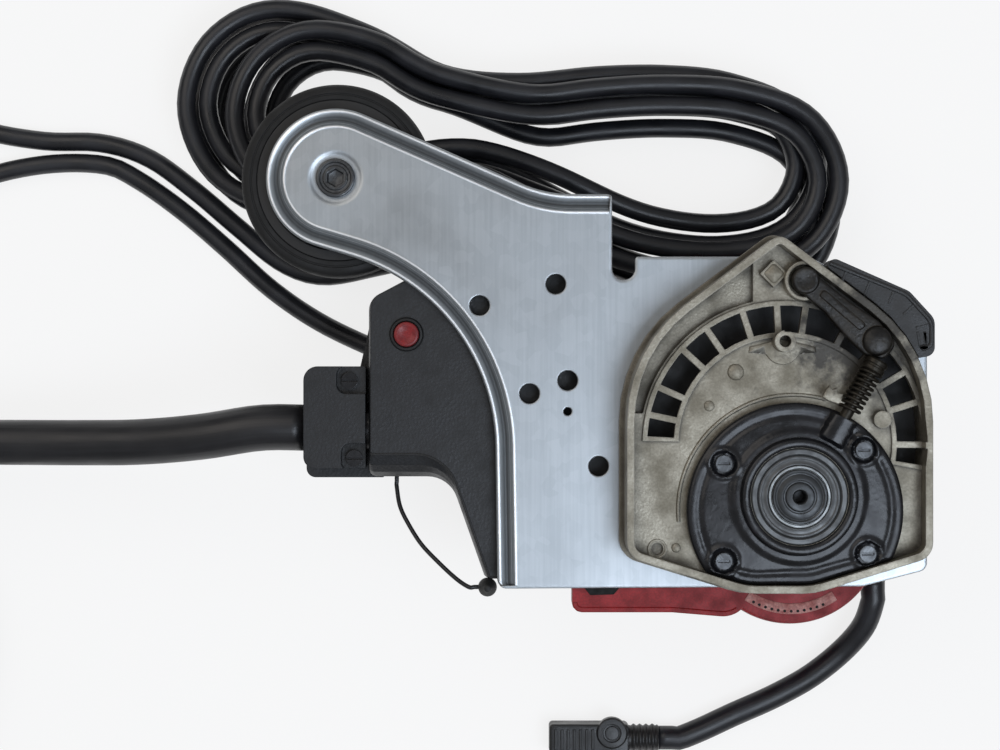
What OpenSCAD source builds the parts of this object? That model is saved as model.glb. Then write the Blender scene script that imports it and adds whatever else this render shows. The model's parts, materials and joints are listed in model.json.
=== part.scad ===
// Grinder head on a pressed carrier plate, with a switch handle, a guide wheel, a flexible
// shaft and a mains cord wound into a hank. Millimetres.
// Origin: where the spindle's axis meets the resting plane. +Z runs out of the spindle's nose,
// -X runs along the plate towards the handle.

/* [Carrier plate] */
// Thickness of the pressed sheet
sheet_t = 2; // [1.5:0.5:3]
// How far the rim lies below the middle panel
rim_drop = 2; // [1:0.5:3]
// Width of the lowered rim round the arm
arm_rim = 8; // [5:0.5:10]
// Width of the lowered rim beside the handle
side_rim = 4.5; // [3:0.5:6]
// Depth of the edge turned down from the rim
skirt_h = 4; // [2:0.5:4.5]
// Distance of the arm's end centre to the left of the spindle
arm_x = 191.5; // [185:0.5:200]
// Distance of the arm's end centre above the spindle
arm_y = 132.5; // [125:0.5:140]
// Radius of the arm's round end
arm_end_r = 29.5; // [26:0.5:33]
// Distance of the plate's left side from the spindle
plate_left = 125.5; // [122:0.5:129]
// Distance of the plate's bottom edge below the spindle
plate_bottom = 40; // [36:0.5:44]
// Height of the plate's straight top edge above the spindle
plate_top = 99.5; // [96:0.5:102]
// Height of the shoulder where the arm begins
shoulder_y = 126; // [118:0.5:126]
// Distance of the open slot's centre to the left of the spindle
slot_x = 70.5; // [66:0.5:76]
// Width of the open slot beside the arm
slot_w = 9.7; // [8:0.1:12]
// Depth of the open slot below the straight top edge
slot_depth = 9.8; // [8:0.1:14]
// Radius of the fixing holes
hole_r = 4.2; // [3:0.1:5]

/* [Gear case] */
// Distance of the case's middle to the left of the spindle
case_off = 8; // [6:0.5:10]
// Half of the case's width
case_half_w = 62.5; // [60:0.5:65]
// Height of the case's apex above the spindle
case_apex = 107.5; // [104:0.5:110]
// Height at which the roof lines meet the straight sides
case_shoulder = 60.5; // [56:0.5:64]
// Height of the case above the plate
case_h = 28; // [27:0.5:32]
// Wall of the casting
case_wall = 3; // [2.5:0.5:4]
// Depth of the open tray
tray_depth = 11; // [10:0.5:12]
// Inner radius of the louvre ring
louvre_r1 = 46; // [44:0.5:48]
// Outer radius of the louvre ring
louvre_r2 = 57; // [55:0.5:58]
// Width of a rib between two louvres
louvre_rib = 2.6; // [2:0.1:3.5]

/* [Bearing and spindle] */
// Outer radius of the spindle bearing
bearing_r = 20; // [19:0.5:20.5]
// Radius of the bearing's bore
bearing_bore_r = 8.5; // [7.5:0.5:9]
// Width of the bearing
bearing_w = 12; // [11:0.5:12.5]
// Radius of a bearing ball
ball_r = 3.2; // [2.8:0.1:3.4]
// Number of bearing balls
ball_count = 8; // [6:1:9]
// Radius of the black bearing cover
cover_r = 44.5; // [42:0.5:46]
// Radius of the tapped hole in the spindle's nose
nose_hole_r = 2.5; // [2:0.25:3]
// Depth of the tapped hole in the spindle's nose
nose_hole_depth = 14; // [10:0.5:16]

/* [Gears] */
// Gear module
gear_m = 0.8; // [0.76:0.01:0.84]
// Teeth of the pinion on the motor shaft
pinion_teeth = 10; // [10:1:11]
// Teeth of the gear on the spindle
gear_teeth = 30; // [29:1:31]
// Width of the gears
gear_w = 10; // [8:0.5:10.5]

/* [Motor] */
// Height from the resting face to the plate's underside
motor_h = 93; // [90:1:100]
// Outer radius of the motor's barrel
barrel_r = 38; // [37.5:0.5:40]
// Wall of the motor's housing
barrel_wall = 2.7; // [2:0.1:3]
// Height of the end cap
cap_h = 32; // [31:0.5:34]
// Radius of the armature's core
core_r = 20.2; // [18:0.2:20.6]
// Length of the armature's and the field's core
core_len = 26; // [22:1:28]
// Radius of the cooling fan
fan_r = 31; // [26:0.5:33]

/* [Handle] */
// Distance of the handle's left side from the spindle
handle_left = 178.5; // [176:0.5:181]
// Height of the handle's lower edge above the spindle
handle_low = 6; // [4:0.5:8]
// Thickness of the handle
handle_t = 40; // [36:1:42]
// Wall of the handle's shells
shell_wall = 3; // [2.5:0.5:3.5]
// Radius of the lock button
button_r = 5.3; // [4.5:0.1:6]
// Travel of the lock button
button_travel = 2.5; // [1.5:0.5:3]
// Width of the trigger
trigger_w = 16; // [12:1:18]
// Thickness of the guard's wire
guard_d = 1.8; // [1.6:0.1:2.4]

/* [Guide wheel] */
// Outer radius of the guide wheel
wheel_r = 41; // [38:0.5:42]
// Width of the guide wheel
wheel_w = 24; // [18:1:26]
// Radius of the wheel's axle
axle_r = 8; // [6:0.5:10]

/* [Spindle lock] */
// Distance of the lever's pivot to the right of the spindle
lever_x = 2.5; // [1:0.5:4]
// Height of the lever's pivot above the spindle
lever_y = 88.5; // [87:0.5:90]
// Direction of the plunger as seen from the spindle, in degrees
plunger_angle = 60; // [58:0.5:61]
// Travel of the plunger
plunger_travel = 5; // [3:0.5:5]

/* [Cords] */
// Diameter of the flexible shaft's sheath
sheath_d = 20; // [18:0.5:20]
// Diameter of the mains cord
mains_d = 8.6; // [7.5:0.1:8.7]
// Diameter of the control lead
lead_d = 11; // [10:0.5:12]

/* [Fits] */
// Radial clearance of a running fit
run_gap = 0.05; // [0.02:0.01:0.1]
// Clearance between pieces of one body that are only seated
seat_gap = 0.02; // [0.01:0.01:0.05]
// Clearance between pieces that must stay apart
free_gap = 0.3; // [0.3:0.05:0.5]

/* [Hidden] */
$fn = 64;

// Heights, from the resting plane upwards
deck_z = motor_h;                       // underside of the plate's panel
panel_z = deck_z + sheet_t;             // top of the panel, where the gear case stands
rim_z = deck_z - rim_drop;              // underside of the lowered rim
case_top = panel_z + case_h;
tray_z = case_top - tray_depth;         // floor of the open tray
chamber_top = tray_z - case_wall;       // roof of the gear chamber
bearing_z = case_top - bearing_w;       // lower face of the spindle bearing
gear_z = panel_z + 2.5;
handle_top = rim_z - skirt_h - 1;
handle_z = handle_top - handle_t;
mid_z = handle_top - handle_t / 2;      // parting plane of the handle's shells
arm = [-arm_x, arm_y];
case_cx = -case_off;
gear_centres = gear_m * (pinion_teeth + gear_teeth) / 2;
motor = [0, -gear_centres];
louvre = [case_cx + 3.3, 21.5];         // centre of the louvre ring
cover_c = [-1.3, -6];

// ---------------------------------------------------------------- plane geometry

function unit(v) = v / norm(v);
function polar(r, a) = [r * cos(a), r * sin(a)];
function at(list, i) = is_list(list) ? list[i % len(list)] : list;
function xy(p) = [p.x, p.y];
function turn(u, v) = atan2(cross(u, v), u * v);

// Outline with rounded corners: corners are [x, y, radius], counter-clockwise
function rounded(c) = [
  for (i = [0:len(c) - 1])
    let (
      n = len(c),
      p = xy(c[i]),
      u = unit(p - xy(c[(i + n - 1) % n])),
      v = unit(xy(c[(i + 1) % n]) - p),
      bend = turn(u, v),
      side = sign(bend),
      r = c[i][2],
      centre = p - u * r * tan(abs(bend) / 2) + side * r * [-u.y, u.x],
      steps = max(2, ceil(abs(bend) / 9 - 0.1)),
      from = atan2(-side * u.x, side * u.y)
    )
    for (k = [0:steps]) centre + polar(r, from + bend * k / steps)
];

// The same corners with each edge moved inwards; d is one distance or one for each edge,
// where edge i runs from corner i to the next
function inset(c, d) = [
  for (i = [0:len(c) - 1])
    let (
      n = len(c),
      p = xy(c[i]),
      u = unit(p - xy(c[(i + n - 1) % n])),
      v = unit(xy(c[(i + 1) % n]) - p),
      d1 = at(d, i + n - 1),
      d2 = at(d, i),
      k = cross(u, v)
    )
    concat(
      p + (d1 * v - d2 * u) / k,
      max(0.3, c[i][2] - sign(k) * (d1 + d2) / 2)
    )
];

module area(corners) {
  polygon(rounded(corners));
}

// Part of a ring between two angles
module sector(r1, r2, a1, a2) {
  steps = max(2, ceil((a2 - a1) / 6));
  polygon(concat(
    [for (k = [0:steps]) polar(r2, a1 + (a2 - a1) * k / steps)],
    [for (k = [0:steps]) polar(r1, a2 + (a1 - a2) * k / steps)]
  ));
}

module ring(r1, r2, h) {
  linear_extrude(h) difference() {
    circle(r2);
    circle(r1);
  }
}

// Closed skin through rings of points that all have the same count, [z, outline] each
module loft(rings) {
  n = len(rings[0][1]);
  last = len(rings) - 1;
  points = [for (r = rings) for (p = r[1]) [p.x, p.y, r[0]]];
  sides = [
    for (i = [0:last - 1]) for (k = [0:n - 1])
      let (a = i * n + k, b = i * n + (k + 1) % n)
      each [[a, b + n, b], [a, a + n, b + n]]
  ];
  polyhedron(points, concat(
    sides,
    [[for (k = [0:n - 1]) k]],
    [[for (k = [0:n - 1]) last * n + (n - k) % n]]
  ), convexity = 6);
}

// ---------------------------------------------------------------- routes and tubes

function spline(a, b, c, d, t) = 0.5 * (
  2 * b + (c - a) * t + (2 * a - 5 * b + 4 * c - d) * t * t
  + (3 * b - a - 3 * c + d) * t * t * t
);

// Smooth route through its own points, n steps for each stretch
function route(p, n) = [
  for (i = [0:len(p) - 2]) for (k = [0:n - 1])
    spline(p[max(i - 1, 0)], p[i], p[i + 1], p[min(i + 2, len(p) - 1)], k / n),
  p[len(p) - 1]
];

function heading(p, i) = unit(p[min(i + 1, len(p) - 1)] - p[max(i - 1, 0)]);

// One tube along a route, square at both ends
module tube(path, d, sides) {
  n = len(path);
  phase = 180 / sides;
  points = [
    for (i = [0:n - 1])
      let (
        t = heading(path, i),
        s = unit(cross(t, [0, 0, 1])),
        u = cross(s, t)
      )
      for (k = [0:sides - 1])
        path[i] + d / 2 * (cos(360 * k / sides + phase) * s + sin(360 * k / sides + phase) * u)
  ];
  walls = [
    for (i = [0:n - 2]) for (k = [0:sides - 1])
      let (a = i * sides + k, b = i * sides + (k + 1) % sides)
      each [[a, b, b + sides], [a, b + sides, a + sides]]
  ];
  ends = [
    for (k = [1:sides - 2])
      each [[0, k + 1, k], [(n - 1) * sides, (n - 1) * sides + k, (n - 1) * sides + k + 1]]
  ];
  polyhedron(points, concat(walls, ends), convexity = 8);
}

// ---------------------------------------------------------------- carrier plate

// Corner of the arm's round end between two of its tangents, given by their normals
function arm_corner(a1, a2) = concat(
  arm + polar(arm_end_r / cos((a2 - a1) / 2), (a1 + a2) / 2),
  arm_end_r * 0.998
);
// Where the arm's tangent with normal a meets the line X = x or Y = y
function tangent_y(a, x) = arm.y + (arm_end_r - (x - arm.x) * cos(a)) / sin(a);
function tangent_x(a, y) = arm.x + (arm_end_r - (y - arm.y) * sin(a)) / cos(a);

arm_top = 66.3;       // normal of the arm's upper edge
arm_low = 253.3;      // normal of the arm's lower edge
arm_mid = (arm_top + arm_low) / 2;
plate_right = case_half_w - case_off + 2.5;
slot_l = -slot_x - slot_w / 2;
slot_r = -slot_x + slot_w / 2;
slot_low = plate_top - slot_depth;

plate_corners = [
  [-plate_left + 2, -plate_bottom, 4],
  [30, -plate_bottom + 1, 12],
  [plate_right, -plate_bottom + 8, 4],
  [plate_right, 66, 10],
  [9, plate_top, 20],
  [slot_r, plate_top, 1.5],
  [slot_r, slot_low, slot_w / 2 - 0.01],
  [slot_l, slot_low, slot_w / 2 - 0.01],
  [slot_l, shoulder_y, 2],
  [tangent_x(arm_top, shoulder_y), shoulder_y, 55],
  arm_corner(arm_top, arm_mid),
  arm_corner(arm_mid, arm_low),
  [-plate_left, tangent_y(arm_low, -plate_left), 85]
];
// The rim is lowered only round the arm and beside the handle
rim_widths = [0, 0, 0, 0, 0, 0, 0, 0, arm_rim, arm_rim, arm_rim, arm_rim, side_rim];
panel_corners = inset(plate_corners, rim_widths);

plate_holes = [[-131, 79], [-99, 88], [-94, 47.5], [-110, 42], [-81, 11.5]];
pilot_hole = [-94, 34.5];

// The part of the plate that has a lowered rim and a turned-down edge
module rimmed_part() {
  polygon([
    [-240, 200], [-240, -plate_bottom - 20], [-plate_left + 20, -plate_bottom - 20],
    [-plate_left + 20, -plate_bottom + 4], [slot_l - 6, 60], [slot_l - 6, shoulder_y - 14],
    [slot_l + 2, shoulder_y - 14], [slot_l + 2, 200]
  ]);
}

module carrier_plate() {
  color("lightsteelblue") difference() {
    union() {
      translate([0, 0, deck_z]) linear_extrude(sheet_t) area(panel_corners);
      translate([0, 0, rim_z]) linear_extrude(sheet_t) intersection() {
        difference() {
          area(plate_corners);
          area(inset(panel_corners, sheet_t));
        }
        rimmed_part();
      }
      translate([0, 0, rim_z]) linear_extrude(panel_z - rim_z) intersection() {
        difference() {
          area(panel_corners);
          area(inset(panel_corners, sheet_t));
        }
        rimmed_part();
      }
      translate([0, 0, rim_z - skirt_h]) linear_extrude(skirt_h + sheet_t / 2) intersection() {
        difference() {
          area(plate_corners);
          area(inset(plate_corners, sheet_t));
        }
        rimmed_part();
      }
    }
    for (p = plate_holes) translate([p.x, p.y, rim_z - 10]) cylinder(h = 20, r = hole_r);
    translate([pilot_hole.x, pilot_hole.y, rim_z - 10]) cylinder(h = 20, r = 1.7);
    translate([arm.x, arm.y, rim_z - 10]) cylinder(h = 20, r = axle_screw_r + seat_gap);
    translate([arm.x, arm.y, panel_z - 0.6]) cylinder(h = 2, r = 10.2);
    translate([0, 0, rim_z - 10]) cylinder(h = 20, r = spindle_foot_r + 1);
    translate([motor.x, motor.y, rim_z - 10]) cylinder(h = 20, r = shaft_top_r + 1);
    for (p = case_screw_places) translate([p.x, p.y, rim_z - 10]) cylinder(h = 20, r = 2.2);
  }
}

nut_places = [[-116, 62], [-111.5, -18], [-138, 91]];
nut_r = 5.2;
nut_h = deck_z - handle_top - 0.7;

module weld_nuts() {
  color("silver") for (p = nut_places) translate([p.x, p.y, deck_z - nut_h]) difference() {
    cylinder(h = nut_h, r = nut_r, $fn = 6);
    translate([0, 0, -1]) cylinder(h = nut_h - 1, r = 2.1);
  }
}

// ---------------------------------------------------------------- gear case

case_corners = [
  [case_cx - case_half_w, -24.5, 8],
  [case_cx - 14, -39.5, 30],
  [case_cx + 14, -39.5, 30],
  [case_cx + case_half_w, -24.5, 8],
  [case_cx + case_half_w, case_shoulder, 60],
  [case_cx, case_apex, 5],
  [case_cx - case_half_w, case_shoulder, 60]
];
case_flange = 2;      // the foot of the casting stands out by this much
flange_h = 3;
gasket_t = 0.8;
rib_angles = [-0.5, 17.5, 31, 47, 62.5, 81.5, 93.5, 108, 124.5, 137.5, 156, 168];
louvre_from = -9;
louvre_to = 177;
seat_wall = 1.6;
seat_ring_r = bearing_r + seat_wall;
chamber_r = gear_m * (gear_teeth + 2) / 2 + 1.2;
pinion_room_r = gear_m * (pinion_teeth + 2) / 2 + 1;
chamber_wall = 3;
spindle_collar_r = 10;
louvre_rim = 2;       // raised frame round the louvres
post = [case_cx + 2.2, 63.6];
lug = [case_cx - 1.8, 91.5];
// Screws that hold the case from below; the last one also holds the housing's lug
case_screw_places = [[-40, 34], [28, 34], [46, -14], [-57, -19]];
case_screw_depth = 12;

module louvre_slots() {
  difference() {
    sector(louvre_r1, louvre_r2, louvre_from, louvre_to);
    for (a = rib_angles) rotate(a) translate([0, -louvre_rib / 2]) square([louvre_r2 + 5, louvre_rib]);
  }
}

// Sunk channel between the outer wall and the louvres' frame
module channel() {
  intersection() {
    difference() {
      area(inset(case_corners, case_wall));
      translate(louvre) circle(louvre_r2 + louvre_rim + 1);
    }
    translate([case_cx - 80, 34]) square([80 - 10, 80]);
  }
}

module bearing_cavity(h, grow) {
  translate([0, 0, 0]) cylinder(h = h, r = chamber_r + grow);
  translate([motor.x, motor.y, 0]) cylinder(h = h, r = pinion_room_r + grow);
}

module gear_case() {
  color("tan") difference() {
    union() {
      translate([0, 0, panel_z + gasket_t]) linear_extrude(flange_h)
        area(inset(case_corners, -case_flange));
      translate([0, 0, panel_z + gasket_t]) linear_extrude(case_h - gasket_t) area(case_corners);
    }
    // open tray on top
    translate([0, 0, tray_z]) linear_extrude(tray_depth + 1) difference() {
      area(inset(case_corners, case_wall));
      circle(seat_ring_r);
      translate(post) circle(4.4);
      translate(lug) rotate(45) square(8, center = true);
      translate(plunger_post) circle(3.6);
      translate([lever_x, lever_y]) circle(lever_pin_r);
      for (p = cover_screw_places) translate(p) circle(3.4);
    }
    // lower everything that doesn't reach the rim
    translate([0, 0, tray_z + 4.5]) linear_extrude(tray_depth) difference() {
      area(inset(case_corners, case_wall));
      circle(seat_ring_r);
      translate([lever_x, lever_y]) circle(lever_pin_r);
      translate(post) circle(4.4);
    }
    translate([0, 0, tray_z - 4]) linear_extrude(5) channel();
    // hollow underneath, round the gear chamber and the screw bosses
    translate([0, 0, panel_z - 1]) linear_extrude(chamber_top - panel_z + 1) difference() {
      area(inset(case_corners, case_wall));
      circle(chamber_r + chamber_wall);
      translate(motor) circle(pinion_room_r + chamber_wall);
      for (p = case_screw_places) translate(p) circle(4.5);
      offset_channel();
    }
    translate([0, 0, panel_z - 1]) bearing_cavity(chamber_top - panel_z + 1, 0);
    cylinder(h = case_top, r = spindle_collar_r + 1.5);
    translate([0, 0, bearing_z]) cylinder(h = bearing_w + 1, r = bearing_r + seat_gap);
    translate([louvre.x, louvre.y, panel_z]) linear_extrude(case_h + 1) louvre_slots();
    translate([post.x, post.y, tray_z]) cylinder(h = tray_depth + 1, r = 2.4);
    for (p = case_screw_places) translate([p.x, p.y, panel_z - 1])
      cylinder(h = case_screw_depth + 2, r = 2.1);
    for (p = cover_screw_places) translate([p.x, p.y, tray_z - 2.5]) cylinder(h = 20, r = 1.6);
    translate([case_cx - 49.5, -22, tray_z - 2]) cylinder(h = 20, r = 2.5);
    translate([lever_x, lever_y, lever_z + lever_t - 2.5]) cylinder(h = 9, r = lever_pin_r + 1);
  }
  // raised frame of the louvres
  color("tan") translate([louvre.x, louvre.y, tray_z - 0.5]) linear_extrude(1.7) intersection() {
    difference() {
      sector(louvre_r1 - louvre_rim, louvre_r2 + louvre_rim, louvre_from - 2, louvre_to + 2);
      louvre_slots();
    }
    translate(-louvre) area(inset(case_corners, case_wall - 0.5));
  }
}

// Keeps wall under the sunk channel
module offset_channel() {
  intersection() {
    difference() {
      area(inset(case_corners, case_wall - 1));
      translate(louvre) circle(louvre_r2 + 1);
    }
    translate([case_cx - 80, 31]) square([80 - 7, 80]);
  }
}

module case_gasket() {
  color("black") translate([0, 0, panel_z]) linear_extrude(gasket_t - seat_gap) difference() {
    area(inset(case_corners, -case_flange));
    circle(spindle_foot_r + 1);
    translate(motor) circle(shaft_top_r + 1);
    for (p = case_screw_places) translate(p) circle(2.2);
  }
}

module case_screws() {
  color("silver") for (i = [0:3])
    let (p = case_screw_places[i], z = deck_z - (i == 3 ? lug_wall : 0) - seat_gap)
    translate([p.x, p.y, z]) {
      cylinder(h = panel_z + case_screw_depth - z, r = 2);
      translate([0, 0, -2.6]) difference() {
        cylinder(h = 2.6, r = 3.8);
        translate([0, 0, -1]) cylinder(h = 2.4, r = 2, $fn = 6);
      }
    }
}

// ---------------------------------------------------------------- bearing and cover

cover_screw_places = [[-30.7, 13.5], [-30.7, -26.5], [26.7, 19], [28.3, -23.5]];
cup_r1 = seat_ring_r + free_gap;
cup_r2 = cup_r1 + 1.8;
lip_r = bearing_r + 0.8;
cover_floor = tray_z + 4.5 + seat_gap;
cover_t = 2.6;
cover_h = 7;
plunger_z = tray_z + 8;
guide_from = 30;
guide_half_w = 5;

module cover_outline(d) {
  intersection() {
    translate(cover_c) circle(cover_r - d);
    area(inset(case_corners, case_wall + free_gap + d));
  }
}

module bearing_cover() {
  color([0.12, 0.12, 0.13]) difference() {
    union() {
      translate([0, 0, cover_floor]) linear_extrude(cover_t) cover_outline(0);
      translate([0, 0, cover_floor - 3]) linear_extrude(cover_t + 3) difference() {
        cover_outline(0);
        cover_outline(2);
      }
      translate([0, 0, cover_floor]) cylinder(h = case_top + 1.2 - cover_floor, r = cup_r2);
      // tunnel that guides the plunger
      rotate(plunger_angle) translate([guide_from, -guide_half_w, cover_floor])
        cube([cover_edge - guide_from, 2 * guide_half_w, plunger_z + 4 - cover_floor]);
    }
    translate([0, 0, cover_floor - 5]) cylinder(h = case_top - cover_floor + 5 + seat_gap, r = cup_r1);
    translate([0, 0, cover_floor - 5]) cylinder(h = 40, r = lip_r);
    for (p = cover_screw_places) translate([p.x, p.y, 0]) {
      cylinder(h = case_top, r = 1.8);
      translate([0, 0, cover_floor + cover_t - 0.8]) cylinder(h = 4, r = 4.2);
      translate([0, 0, cover_floor - 5]) cylinder(h = 5, r = 3.7);
    }
    rotate(plunger_angle) translate([plunger_from - plunger_travel - 0.5, 0, plunger_z])
      rotate([0, 90, 0]) cylinder(h = 40, r = pin_r + run_gap);
  }
}

module cover_screws() {
  color("silver") for (p = cover_screw_places)
    translate([p.x, p.y, cover_floor + cover_t - 0.8 + seat_gap]) {
      difference() {
        cylinder(h = 2.2, r = 3.4);
        translate([0, 0, 2.2]) cube([5, 1, 2], center = true);
      }
      translate([0, 0, -6]) cylinder(h = 6.1, r = 1.5);
    }
}

inner_land_r = 13;
outer_land_r = 16.8;
ball_pitch_r = (inner_land_r + outer_land_r) / 2;

module ball_groove() {
  rotate_extrude() translate([ball_pitch_r, 0]) circle(ball_r + run_gap);
}

module bearing_outer_ring() {
  color("silver") translate([0, 0, bearing_z]) difference() {
    cylinder(h = bearing_w, r = bearing_r);
    translate([0, 0, -1]) cylinder(h = bearing_w + 2, r = outer_land_r);
    translate([0, 0, bearing_w / 2]) ball_groove();
  }
}

module bearing_inner_ring() {
  color("whitesmoke") translate([0, 0, bearing_z]) difference() {
    cylinder(h = bearing_w, r = inner_land_r);
    translate([0, 0, -1]) cylinder(h = bearing_w + 2, r = bearing_bore_r);
    translate([0, 0, bearing_w / 2]) ball_groove();
  }
}

module bearing_balls() {
  color("silver") for (k = [0:ball_count - 1])
    translate(concat(polar(ball_pitch_r, 360 * k / ball_count), bearing_z + bearing_w / 2))
      sphere(ball_r, $fn = 32);
}

module bearing_seal() {
  color([0.2, 0.2, 0.2]) for (z = [0.5, bearing_w - 1.3]) translate([0, 0, bearing_z + z])
    ring(inner_land_r + run_gap, outer_land_r - seat_gap, 0.8);
}

spindle_foot_r = 3.5;
gear_seat_r = 5;
hub_r = 10.6;
hub_h = 1.8;

module spindle() {
  seat = bearing_bore_r - seat_gap;
  color([0.45, 0.45, 0.47]) difference() {
    rotate_extrude() polygon([
      [0, bush_z + 0.5], [spindle_foot_r, bush_z + 0.5], [spindle_foot_r, gear_z - 0.3],
      [gear_seat_r - seat_gap, gear_z - 0.3], [gear_seat_r - seat_gap, gear_z + gear_w],
      [spindle_collar_r, gear_z + gear_w], [spindle_collar_r, bearing_z],
      [seat, bearing_z], [seat, case_top], [hub_r, case_top],
      [hub_r, case_top + hub_h - 0.6], [hub_r - 0.6, case_top + hub_h], [0, case_top + hub_h]
    ]);
    translate([0, 0, case_top + hub_h - 0.8]) ring(5, 7.2, 2);
    translate([0, 0, case_top + hub_h - nose_hole_depth])
      cylinder(h = nose_hole_depth + 1, r = nose_hole_r);
  }
}

// ---------------------------------------------------------------- gear teeth

pressure_angle = 25;
backlash = 0.1;

function involute(rb, t) = rb * [cos(t) + t * PI / 180 * sin(t), sin(t) - t * PI / 180 * cos(t)];
// Roll angle at which the involute of base radius rb reaches radius r
function roll(rb, r) = sqrt(max(0, r * r / rb / rb - 1)) * 180 / PI;
function spin(p, a) = [p.x * cos(a) - p.y * sin(a), p.x * sin(a) + p.y * cos(a)];

// Outline of a spur gear with one tooth centred on +X
function gear_outline(teeth) =
  let (
    r = gear_m * teeth / 2,
    rb = r * cos(pressure_angle),
    tip = r + 0.8 * gear_m,
    root = r - 1.1 * gear_m,
    t0 = roll(rb, max(rb, root)),
    t1 = roll(rb, tip),
    half = 90 / teeth - backlash / r * 90 / PI,
    at_pitch = involute(rb, roll(rb, r)),
    lean = half + atan2(at_pitch.y, at_pitch.x),
    flank = [for (k = [0:4]) spin(involute(rb, t0 + (t1 - t0) * k / 4), -lean)],
    foot = root < rb ? [unit(flank[0]) * root] : [],
    rising = concat(foot, flank)
  )
  [
    for (i = [0:teeth - 1]) let (a = 360 * i / teeth)
      each concat(
        [for (p = rising) spin(p, a)],
        [for (k = [len(rising) - 1:-1:0]) spin([rising[k].x, -rising[k].y], a)]
      )
  ];

module spindle_gear() {
  color("dimgray") translate([0, 0, gear_z]) difference() {
    linear_extrude(gear_w - seat_gap) rotate(-90) polygon(gear_outline(gear_teeth));
    translate([0, 0, -1]) cylinder(h = gear_w + 2, r = gear_seat_r);
    translate([0, 0, gear_w - 2]) ring(6.5, 9.2, 3);
  }
}

bush_h = 9;
bush_z = deck_z - bush_h;
bush_r = 5;

module spindle_bush() {
  color("goldenrod") translate([0, 0, bush_z])
    ring(spindle_foot_r + run_gap, bush_r - seat_gap, bush_h);
}

// ---------------------------------------------------------------- motor

shaft_r = 4.5;
shaft_low_r = 4;
shaft_top_r = 3.5;
low_bearing_z = 6;
low_bearing_w = 7;
low_bearing_r = 11;
top_bearing_w = 6;
top_bearing_r = 9.5;
top_wall = 10;
top_bearing_z = deck_z - 3 - top_bearing_w;
core_z = cap_h + 6;
fan_h = 7;
fan_z = deck_z - top_wall - 3 - fan_h;
air_gap = 0.6;
brush_z = 24;
commutator_r = 11;
commutator_z = 18;
commutator_h = 13;
barrel_in = barrel_r - barrel_wall;

module armature() {
  translate([motor.x, motor.y, 0]) {
    color("silver") rotate_extrude() polygon([
      [0, low_bearing_z], [shaft_low_r - seat_gap, low_bearing_z],
      [shaft_low_r - seat_gap, low_bearing_z + low_bearing_w],
      [shaft_r, low_bearing_z + low_bearing_w], [shaft_r, top_bearing_z],
      [shaft_top_r - seat_gap, top_bearing_z], [shaft_top_r - seat_gap, gear_z],
      [0, gear_z]
    ]);
    color("silver") translate([0, 0, gear_z - 0.01]) linear_extrude(gear_w)
      rotate(90 + 180 / pinion_teeth) polygon(gear_outline(pinion_teeth));
    color("sienna") translate([0, 0, core_z]) linear_extrude(core_len) difference() {
      circle(core_r);
      for (k = [0:11]) rotate(30 * k) translate([core_r - 2, -1]) square([4, 2]);
      circle(shaft_r - 0.2);
    }
    color("peru") for (z = [core_z - 3.8, core_z + core_len - 0.2]) translate([0, 0, z])
      ring(shaft_r - 0.2, core_r - 3, 4);
  }
}

module commutator() {
  color("chocolate") translate([motor.x, motor.y, commutator_z]) linear_extrude(commutator_h)
    difference() {
      circle(commutator_r);
      circle(shaft_r + seat_gap);
      for (k = [0:15]) rotate(22.5 * k) translate([commutator_r - 1, -0.3]) square([3, 0.6]);
    }
}

module cooling_fan() {
  color("ghostwhite") translate([motor.x, motor.y, fan_z]) {
    ring(shaft_r + seat_gap, fan_r, 2);
    ring(shaft_r + seat_gap, shaft_r + 4, fan_h);
    linear_extrude(fan_h) for (k = [0:10]) rotate(360 * k / 11)
      translate([shaft_r + 6, -0.8]) square([fan_r - shaft_r - 7, 1.6]);
  }
}

module bearing_at(z, w, bore, r) {
  color("silver") translate([motor.x, motor.y, z]) {
    ring(bore, bore + (r - bore) * 0.33, w);
    ring(bore + (r - bore) * 0.33 - 0.01, r - seat_gap - (r - bore) * 0.3, w - 0.8);
    ring(r - seat_gap - (r - bore) * 0.3 - 0.01, r - seat_gap, w);
  }
}

module upper_bearing() {
  bearing_at(top_bearing_z, top_bearing_w, shaft_top_r + run_gap, top_bearing_r);
}

module lower_bearing() {
  bearing_at(low_bearing_z, low_bearing_w, shaft_low_r + run_gap, low_bearing_r);
}

pole_windows = [35, 145, 215, 325];
window_half = 10;
coil_r1 = core_r + 3.2;
coil_r2 = coil_r1 + 7.2;

module field_core() {
  color("gray") translate([motor.x, motor.y, core_z]) linear_extrude(core_len) difference() {
    circle(barrel_in - free_gap);
    circle(core_r + air_gap);
    for (a = pole_windows) sector(coil_r1, coil_r2, a - window_half, a + window_half);
    for (s = [-1, 1]) translate([s * barrel_r, 0]) square([8, 20], center = true);
  }
}

module field_coils() {
  gap = 0.3;
  color("peru") translate([motor.x, motor.y, 0]) {
    for (a = pole_windows) translate([0, 0, core_z - 4]) linear_extrude(core_len + 8)
      sector(coil_r1 + gap, coil_r2 - gap, a - window_half + 1, a + window_half - 1);
    for (side = [0, 180]) for (z = [core_z - 4, core_z + core_len + gap]) translate([0, 0, z])
      linear_extrude(4 - gap)
        sector(coil_r1 + gap, coil_r2 - gap, side + 35 - window_half + 1, side + 145 + window_half - 1);
  }
}

brush_w = 6;
brush_h = 9;
brush_out = 26;
holder_wall = 1.2;

module carbon_brushes() {
  color("black") translate([motor.x, motor.y, brush_z]) for (a = [0, 180]) rotate(a)
    translate([commutator_r + free_gap, -brush_w / 2, -brush_h / 2])
      cube([brush_out - commutator_r, brush_w, brush_h]);
}

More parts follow.
